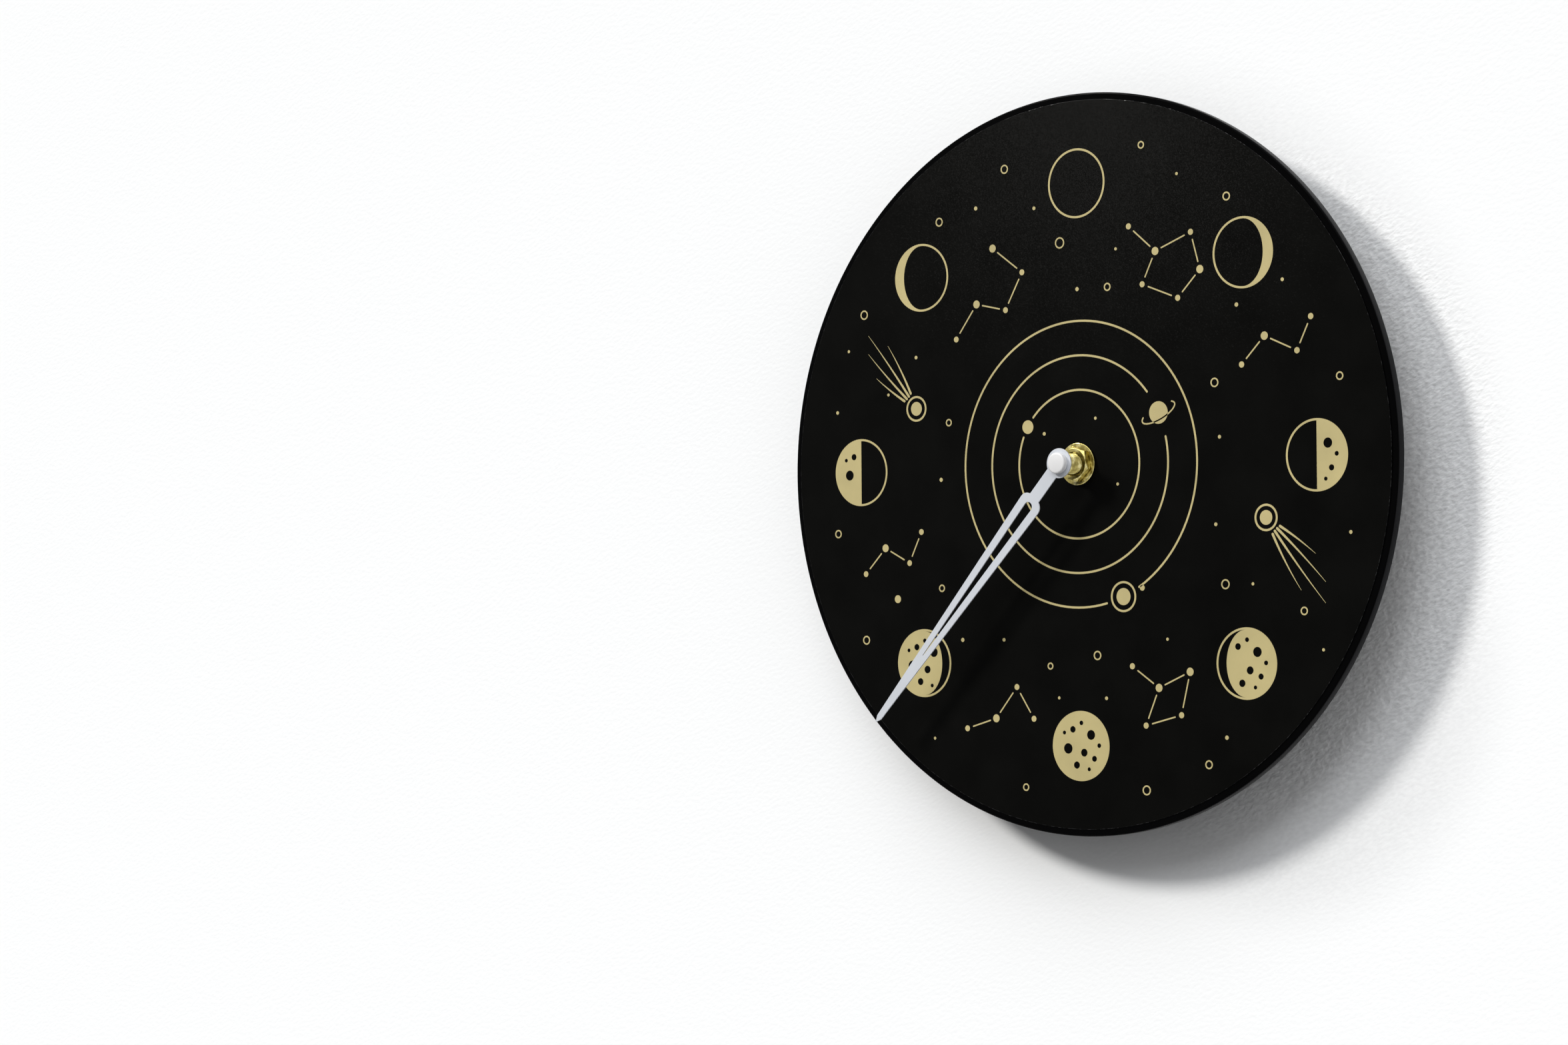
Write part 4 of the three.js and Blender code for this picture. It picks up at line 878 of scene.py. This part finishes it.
def body_disc(lacquer, edge, backing):
    back, front = depth("body_plate")
    rim = half_width("body_plate")
    profile = soften([
        (HUB_HOLE, back, HOLE_EDGE),
        (rim, back, BODY_EDGE),
        (rim, front, BODY_EDGE),
        (HUB_HOLE, front, HOLE_EDGE),
    ])
    mesh = mesh_of("body_disc", turned(profile, FACE_SIDES))
    new_object("body_disc", mesh, [lacquer, edge, backing], "case", ["body_plate"])
    for polygon in mesh.polygons:
        facing = polygon.normal.y
        polygon.material_index = 2 if facing > BACK_FACING else int(facing > EDGE_FACING)


def film_disc(film, edge):
    back, front = depth("dial_sheet")
    rim = half_width("dial_sheet")
    profile = soften([
        (HUB_HOLE, back, 0),
        (rim, back, 0),
        (rim, front, FILM_EDGE),
        (HUB_HOLE, front, 0),
    ])
    mesh = mesh_of("film_disc", turned(profile, FACE_SIDES))
    new_object("film_disc", mesh, [film, edge], "case", ["dial_sheet"])
    cut_edge = (rim - FILM_EDGE) * MM
    for polygon in mesh.polygons:
        spread = math.hypot(polygon.center.x, polygon.center.z)
        polygon.material_index = int(spread > cut_edge)


def gasket_ring(rubber):
    back, front = depth("rubber_gasket")
    rim = half_width("rubber_gasket")
    profile = soften([
        (HUB_HOLE, back, 0),
        (rim, back, GASKET_EDGE),
        (rim, front, GASKET_EDGE),
        (HUB_HOLE, front, 0),
    ])
    mesh = mesh_of("gasket_ring", turned(profile))
    new_object("gasket_ring", mesh, [rubber], "case", ["rubber_gasket"])


# Brass clamp


def thread_reach(radius, turn, out):
    """Cuts a screw thread into what stands at the thread's full radius."""
    if radius != THREAD_RADIUS:
        return radius
    along = (out / THREAD_PITCH - turn / math.tau) % 1
    groove = max(0.0, (abs(2 * along - 1) - THREAD_CREST) / (1 - THREAD_CREST))
    return radius - THREAD_DEPTH * groove


def neck(metal):
    back, front = depth("threaded_bushing")
    flange = half_width("threaded_bushing")
    start = back + FLANGE_THICKNESS
    end = front - NECK_CHAMFER
    steps = round((end - start) / THREAD_PITCH * THREAD_STEPS)
    profile = [(NECK_BORE, back), (flange, back), (flange, start)]
    for step in range(steps + 1):
        profile.append((THREAD_RADIUS, start + (end - start) * step / steps))
    profile.append((THREAD_RADIUS - NECK_CHAMFER, front))
    profile.append((NECK_BORE, front))
    mesh = mesh_of("threaded_neck", turned(profile, HUB_SIDES, thread_reach))
    new_object("threaded_neck", mesh, [metal], "case", ["threaded_bushing"])


def clamp_washer(metal):
    back, front = depth("flat_washer")
    rim = half_width("flat_washer")
    profile = soften([
        (HUB_HOLE, back, 0),
        (rim, back, WASHER_EDGE / 2),
        (rim, front, WASHER_EDGE),
        (HUB_HOLE, front, WASHER_EDGE / 2),
    ])
    mesh = mesh_of("clamp_washer", turned(profile))
    new_object("clamp_washer", mesh, [metal], "case", ["flat_washer"])


def nut_section(turn, back, front):
    """Half of the nut cut through its axis; its ends are turned off at an angle."""
    off_flat = (turn - NUT_TURN) % NUT_SIDE - NUT_SIDE / 2
    outside = NUT_ACROSS_FLATS / 2 / math.cos(off_flat)
    drop = (outside - NUT_FACE) * math.tan(NUT_CHAMFER_ANGLE)
    return [
        (HUB_HOLE, back),
        (NUT_FACE, back),
        (outside, back + drop),
        (outside, front - drop),
        (NUT_FACE, front),
        (HUB_HOLE + NUT_COUNTERSINK, front),
        (HUB_HOLE, front - NUT_COUNTERSINK),
    ]


def clamp_nut(metal):
    """A hexagon with the curved edges that a real nut's chamfers leave."""
    back, front = depth("hex_nut")
    turns = [NUT_TURN + math.tau * side / HUB_SIDES for side in range(HUB_SIDES)]
    sections = [nut_section(turn, back, front) for turn in turns]
    vertices = []
    rings = []
    for corner in zip(*sections):
        rings.append(list(range(len(vertices), len(vertices) + HUB_SIDES)))
        for turn, (radius, out) in zip(turns, corner):
            vertices.append((radius * math.cos(turn), radius * math.sin(turn), out))
    mesh = mesh_of("clamp_nut", (vertices, ring_faces(rings)))
    obj = new_object("clamp_nut", mesh, [metal], "case", ["hex_nut"])
    round_edges(obj, NUT_EDGE)


# Hand


def arc_points(middle, radius, start, sweep, steps):
    points = []
    for step in range(steps + 1):
        turn = start + sweep * step / steps
        points.append(Vector((middle[0] + radius * math.cos(turn), middle[1] + radius * math.sin(turn))))
    return points


def circle(middle, radius, sides):
    return arc_points(middle, radius, 0, math.tau * (sides - 1) / sides, sides - 1)


def hand_outline():
    stem = HAND_STEM / 2
    blade = HAND_BLADE / 2
    shoulder_x = blade - HAND_SHOULDER_RADIUS
    rise = math.asin((stem - shoulder_x) / HAND_SHOULDER_RADIUS) - math.pi / 2
    shoulder_up = HAND_STEM_LENGTH - HAND_SHOULDER_RADIUS * math.sin(rise)
    shoulder = (shoulder_x, shoulder_up)
    right = arc_points(shoulder, HAND_SHOULDER_RADIUS, rise, -rise, HAND_SHOULDER_STEPS)
    right.append(Vector((HAND_POINT / 2, HAND_LENGTH - HAND_POINT_LENGTH)))
    left = [Vector((-point.x, point.y)) for point in reversed(right)]
    neck_turn = math.acos(stem / HAND_BOSS_RADIUS)
    boss_sweep = math.pi + 2 * neck_turn
    boss = arc_points((0, 0), HAND_BOSS_RADIUS, math.pi - neck_turn, boss_sweep, HAND_BOSS_STEPS)
    return boss + right + [Vector((0, HAND_LENGTH))] + left


def hand_slot():
    wide = HAND_SLOT_WIDTH / 2
    end = HAND_SLOT_START + HAND_SLOT_LENGTH
    round_end = arc_points((0, HAND_SLOT_START + wide), wide, math.pi, math.pi, HAND_SLOT_STEPS)
    return round_end + [Vector((HAND_SLOT_END / 2, end)), Vector((-HAND_SLOT_END / 2, end))]


def flat_plate(name, outlines, back, front, edge):
    """A plate cut to an outline with holes, its edges rounded."""
    curve = bpy.data.curves.new(name, "CURVE")
    curve.dimensions = "2D"
    curve.fill_mode = "BOTH"
    curve.extrude = ((front - back) / 2 - edge) * MM
    curve.bevel_depth = edge * MM
    curve.bevel_resolution = 1
    curve.offset = -edge * MM
    for outline in outlines:
        spline = curve.splines.new("POLY")
        spline.points.add(len(outline) - 1)
        for point, corner in zip(spline.points, outline):
            point.co = (corner.x * MM, corner.y * MM, 0, 1)
        spline.use_cyclic_u = True
    drawn = bpy.data.objects.new(name, curve)
    bpy.context.scene.collection.objects.link(drawn)
    mesh = bpy.data.meshes.new_from_object(drawn.evaluated_get(bpy.context.evaluated_depsgraph_get()))
    bpy.data.objects.remove(drawn)
    bpy.data.curves.remove(curve)
    mesh.name = name
    stand = Matrix.Translation(in_frame(0, 0, (back + front) / 2)) @ Matrix.Rotation(math.pi / 2, 4, "X")
    mesh.transform(stand)
    smooth(mesh)
    return mesh


def hand(paint):
    back, front = depth("moon_hand")
    eye = circle((0, 0), HAND_EYE_RADIUS, HAND_EYE_SIDES)
    turn = Matrix.Rotation(-HAND_ANGLE, 2)
    outlines = [[turn @ point for point in line] for line in (hand_outline(), hand_slot(), eye)]
    mesh = flat_plate("phase_hand", outlines, back, front, HAND_EDGE)
    new_object("phase_hand", mesh, [paint], "hand", ["moon_hand"])


def cap(plastic):
    back, front = depth("hand_cap")
    rim = half_width("hand_cap")
    profile = soften([
        (HAND_EYE_RADIUS, back, 0),
        (rim, back, CAP_FOOT_EDGE),
        (rim, front - CAP_DOME, CAP_EDGE),
        (0, front, 0),
        (0, back + CAP_RECESS, 0),
        (HAND_EYE_RADIUS, back + CAP_RECESS, 0),
    ])
    mesh = mesh_of("cap_button", turned(profile))
    new_object("cap_button", mesh, [plastic], "hand", ["hand_cap"])


# Gold print


def spot(clock_angle, radius):
    turn = math.radians(90 - clock_angle)
    return Vector((radius * math.cos(turn), radius * math.sin(turn)))


def half_disc(middle, ahead, radius):
    turn = math.atan2(ahead.y, ahead.x)
    return arc_points(middle, radius, turn - math.pi / 2, math.pi, LINE_END_STEPS)


def stroke(points, width, end_width=None):
    """Polygons of a line that may taper, with round ends."""
    last = len(points) - 1
    end = width if end_width is None else end_width
    left = []
    right = []
    for i, point in enumerate(points):
        ahead = points[min(i + 1, last)] - points[max(i - 1, 0)]
        side = Vector((-ahead.y, ahead.x)).normalized() * (width + (end - width) * i / last) / 2
        left.append(point + side)
        right.append(point - side)
    polygons = [[right[i], right[i + 1], left[i + 1], left[i]] for i in range(last)]
    polygons.append(half_disc(points[0], points[0] - points[1], width / 2))
    polygons.append(half_disc(points[-1], points[-1] - points[-2], end / 2))
    return polygons


def ring_line(middle, radius, width, steps=72):
    inner = arc_points(middle, radius - width / 2, 0, math.tau, steps)
    outer = arc_points(middle, radius + width / 2, 0, math.tau, steps)
    return [[inner[i], outer[i], outer[i + 1], inner[i + 1]] for i in range(steps)]


def disc(middle, radius, sides=32):
    return [circle(middle, radius, sides)]


def filled(outline, holes):
    loops = [outline, *holes]
    points = [point for loop in loops for point in loop]
    flat = [[Vector((point.x, point.y, 0)) for point in loop] for loop in loops]
    return [[points[i] for i in triangle] for triangle in tessellate_polygon(flat)]


def area(polygon):
    pairs = zip(polygon, polygon[1:] + polygon[:1])
    return sum(a.x * b.y - b.x * a.y for a, b in pairs) / 2


def print_ink(name, polygons, ink):
    """Lays flat polygons on the dial as a thin raised print."""
    front = depth("dial_sheet")[1] + INK_THICKNESS
    solid = bmesh.new()
    for polygon in polygons:
        facing = polygon if area(polygon) > 0 else polygon[::-1]
        corners = [solid.verts.new(in_frame(point.x, point.y, front)) for point in facing]
        solid.faces.new(corners)
    bmesh.ops.remove_doubles(solid, verts=solid.verts[:], dist=INK_WELD * MM)
    mesh = bpy.data.meshes.new(name)
    solid.to_mesh(mesh)
    solid.free()
    obj = new_object(name, mesh, [ink], "case")
    layer = obj.modifiers.new("layer", "SOLIDIFY")
    layer.thickness = INK_THICKNESS * MM
    layer.offset = -1


def lit_side(phase):
    """Which side is lit, and how far the shade's edge bulges; phase runs from 0, new, to 1, new again."""
    side = 1 if phase <= 0.5 else -1
    return side, math.cos(math.tau * phase)


def lit_outline(radius, phase):
    side, bulge = lit_side(phase)
    turns = [math.radians(180 * step / LIMB_STEPS - 90) for step in range(LIMB_STEPS + 1)]
    limb = [Vector((side * radius * math.cos(t), radius * math.sin(t))) for t in turns]
    shade = [Vector((side * radius * bulge * math.cos(t), radius * math.sin(t))) for t in turns[1:-1]]
    return limb + shade[::-1]


def lit_craters(phase):
    """Those craters that lie wholly in the lit part."""
    side, bulge = lit_side(phase)
    for x, up, radius in CRATERS:
        shade = bulge * math.sqrt(1 - up * up)
        clear_of_shade = side * x - radius > shade + CRATER_MARGIN
        if clear_of_shade and math.hypot(x, up) + radius < CRATER_LIMIT:
            yield x, up, radius


def phase_marks(ink):
    lit_radius = PHASE_RADIUS - LINE / 2
    for step in range(PHASE_COUNT):
        phase = step / PHASE_COUNT
        middle = spot(360 * phase, PHASE_RING)
        polygons = ring_line(middle, PHASE_RADIUS, LINE)
        if phase > 0:
            holes = []
            for x, up, radius in lit_craters(phase):
                place = middle + Vector((x, up)) * lit_radius
                holes.append(circle(place, radius * lit_radius, CRATER_SIDES))
            outline = [middle + point for point in lit_outline(lit_radius, phase)]
            polygons += filled(outline, holes)
        print_ink(f"phase_mark_{step + 1}", polygons, ink)


def orbit_arc(radius, clock_angle, gap):
    """An orbit's line, open where its planet stands."""
    skip = math.degrees(gap / radius)
    first = clock_angle + skip
    sweep = 360 - 2 * skip
    return stroke([spot(first + sweep * i / ORBIT_STEPS, radius) for i in range(ORBIT_STEPS + 1)], LINE)


def ellipse_line(middle, wide, high, lean, start, sweep):
    turn = Matrix.Rotation(math.radians(lean), 2)
    points = []
    for step in range(RING_STEPS + 1):
        angle = math.radians(start + sweep * step / RING_STEPS)
        points.append(middle + turn @ Vector((wide * math.cos(angle), high * math.sin(angle))))
    return stroke(points, FINE_LINE)


def orbits(ink):
    """Three planets on their orbits, the middle one ringed, the outer one in a halo and with a moon."""
    polygons = []
    for radius, angle, size, gap in zip(ORBITS, PLANET_ANGLES, PLANET_RADII, PLANET_GAPS):
        polygons += orbit_arc(radius, angle, gap) + disc(spot(angle, radius), size)
    ringed = spot(PLANET_ANGLES[1], ORBITS[1])
    polygons += ellipse_line(ringed, *RING_SHAPE)
    far = spot(PLANET_ANGLES[2], ORBITS[2])
    polygons += ring_line(far, FAR_HALO_RADIUS, LINE)
    polygons += disc(far + Vector(FAR_MOON_PLACE), FAR_MOON_RADIUS)
    print_ink("orbit_lines", polygons, ink)


def comet(head, clock_angle, length):
    """A head in a ring with bowed tails that run out to points."""
    away = spot(clock_angle, 1)
    across = Vector((-away.y, away.x))
    polygons = disc(head, COMET_HEAD_RADIUS) + ring_line(head, COMET_RING_RADIUS, LINE)
    for lean, reach, start in COMET_TAILS:
        points = []
        for step in range(TAIL_STEPS + 1):
            along = start + (length * reach - start) * step / TAIL_STEPS
            bow = lean * along * (1 - TAIL_BOW * along / length)
            points.append(head + away * along + across * bow)
        polygons += stroke(points, TAIL_WIDTH, TAIL_POINT)
    return polygons


def comets(ink):
    for name, (head, clock_angle, length) in COMETS.items():
        print_ink(name, comet(Vector(head), clock_angle, length), ink)


def star_maps(ink):
    """Stars, every third of them brighter, joined by fine lines that stop short of them."""
    for name, (places, route) in STAR_MAPS.items():
        stars = [Vector(place) for place in places]
        polygons = []
        for i, star in enumerate(stars):
            polygons += disc(star, BRIGHT_STAR_RADIUS if i % 3 == 1 else STAR_RADIUS, STAR_SIDES)
        for a, b in zip(route, route[1:]):
            ahead = (stars[b] - stars[a]).normalized() * STAR_GAP
            polygons += stroke([stars[a] + ahead, stars[b] - ahead], FINE_LINE)
        print_ink(name, polygons, ink)


def small_marks(ink):
    polygons = []
    for x, up, radius in SMALL_RINGS:
        polygons += ring_line((x, up), radius, FINE_LINE, SMALL_RING_STEPS)
    for x, up, radius in SMALL_DOTS:
        polygons += disc((x, up), radius, SMALL_DOT_SIDES)
    print_ink("small_marks", polygons, ink)


# Movement behind the face


def battery(jacket, band, metal):
    """A cell lying along x, its nub to the right, with a bare end at each side of the printed jacket."""
    low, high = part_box("battery_cell")
    left = low[0] / MM
    right = high[0] / MM
    radius = (high[2] - low[2]) / 2 / MM
    shoulder = right - BATTERY_NUB_LENGTH
    nub = BATTERY_NUB_RADIUS
    profile = [(0, left, 0)]
    profile += [(radius - inset, left + along, edge) for inset, along, edge in BATTERY_FLAT_END]
    profile.append((radius, left + BATTERY_BAND_END, 0))
    profile += [(radius - inset, shoulder - along, edge) for inset, along, edge in BATTERY_SHOULDER]
    profile += [(nub + outset, shoulder + along, edge) for outset, along, edge in BATTERY_NUB_FOOT]
    profile.append((nub, right, BATTERY_NUB_EDGE))
    profile.append((0, right, 0))
    vertices, faces = turned(soften(profile), BATTERY_SIDES)
    out = -(low[1] + high[1]) / 2 / MM
    up = (low[2] + high[2]) / 2 / MM
    lying = [(along, up + b, out + a) for a, b, along in vertices]
    mesh = mesh_of("battery", (lying, faces))
    new_object("battery", mesh, [jacket, band, metal], "battery", ["battery_cell"])
    jacket_start = left + BATTERY_FLAT_END[-1][1]
    jacket_end = shoulder - BATTERY_SHOULDER[0][1]
    for polygon in mesh.polygons:
        along = polygon.center.x / MM
        bare = along < jacket_start or along > jacket_end
        polygon.material_index = 2 if bare else int(along < left + BATTERY_BAND_END)


def dress_movement(plastic, steel):
    rounded_copy("case_shell", "movement_case", plastic, "case", CASE_EDGE)
    rounded_copy("back_cover", "movement_cover", plastic, "case", COVER_EDGE)
    rounded_copy("wall_hanger", "hanger", steel, "case", HANGER_EDGE)
    rounded_copy("setting_knob", "set_knob", plastic, "setting", KNOB_EDGE)
    for i in range(1, COVER_SCREWS + 1):
        rounded_copy(f"back_screw_{i}", f"cover_screw_{i}", steel, "case", COVER_SCREW_EDGE)
    for i in range(1, HANGER_SCREWS + 1):
        rounded_copy(f"top_screw_{i}", f"hanger_screw_{i}", steel, "case", HANGER_SCREW_EDGE)


def dress_nodes(finishes):
    """Gives the solids that stay in view or inside their own finish."""
    for material, nodes in finishes:
        for node in nodes:
            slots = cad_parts[node].data.materials
            slots.clear()
            slots.append(material)


# Assembly

bpy.context.scene.view_settings.view_transform = "Standard"
camera()
sky()
sun("key", KEY_DIRECTION, KEY_STRENGTH, KEY_ANGLE, WARM_WHITE)
sun("ceiling", CEILING_DIRECTION, CEILING_STRENGTH, CEILING_ANGLE, COOL_WHITE)
sun("back_fill", BACK_DIRECTION, BACK_STRENGTH, FILL_ANGLE, WARM_WHITE)
sun("under_fill", UNDER_DIRECTION, UNDER_STRENGTH, FILL_ANGLE, WARM_WHITE)
backdrop()

turned_brass = brass("turned_brass", roughness=0.17, lines=0.3)
milled_brass = brass("milled_brass", roughness=0.2)
body_disc(black_lacquer(), routed_edge(), board_back())
film_disc(dial_film(), film_edge())
gasket_ring(black_rubber())
neck(turned_brass)
clamp_washer(turned_brass)
clamp_nut(milled_brass)
hand(hand_paint())
cap(cap_plastic())

gold = gold_ink()
phase_marks(gold)
orbits(gold)
comets(gold)
star_maps(gold)
small_marks(gold)

moulded = case_plastic()
brushed = brushed_zinc()
dress_movement(moulded, brushed)
battery(jacket_film(), jacket_band(), brushed)
dress_nodes([
    (turned_brass, ["hand_collet", "clutch_collar"]),
    (brushed, ["hand_arbor", "set_arbor", "clutch_washer", "stator", "coil_core", "quartz_crystal",
               "positive_contact", "negative_contact"]),
    (gear_plastic(), ["moon_wheel", "drive_wheel", "third_wheel", "second_wheel", "first_wheel",
                      "rotor_pinion", "coil_bobbin"]),
    (moulded, ["train_bridge"]),
    (ground_magnet(), ["rotor_magnet"]),
    (copper_wire(), ["coil_winding"]),
    (board_green(), ["circuit_board"]),
    (chip_resin(), ["timer_chip"]),
])
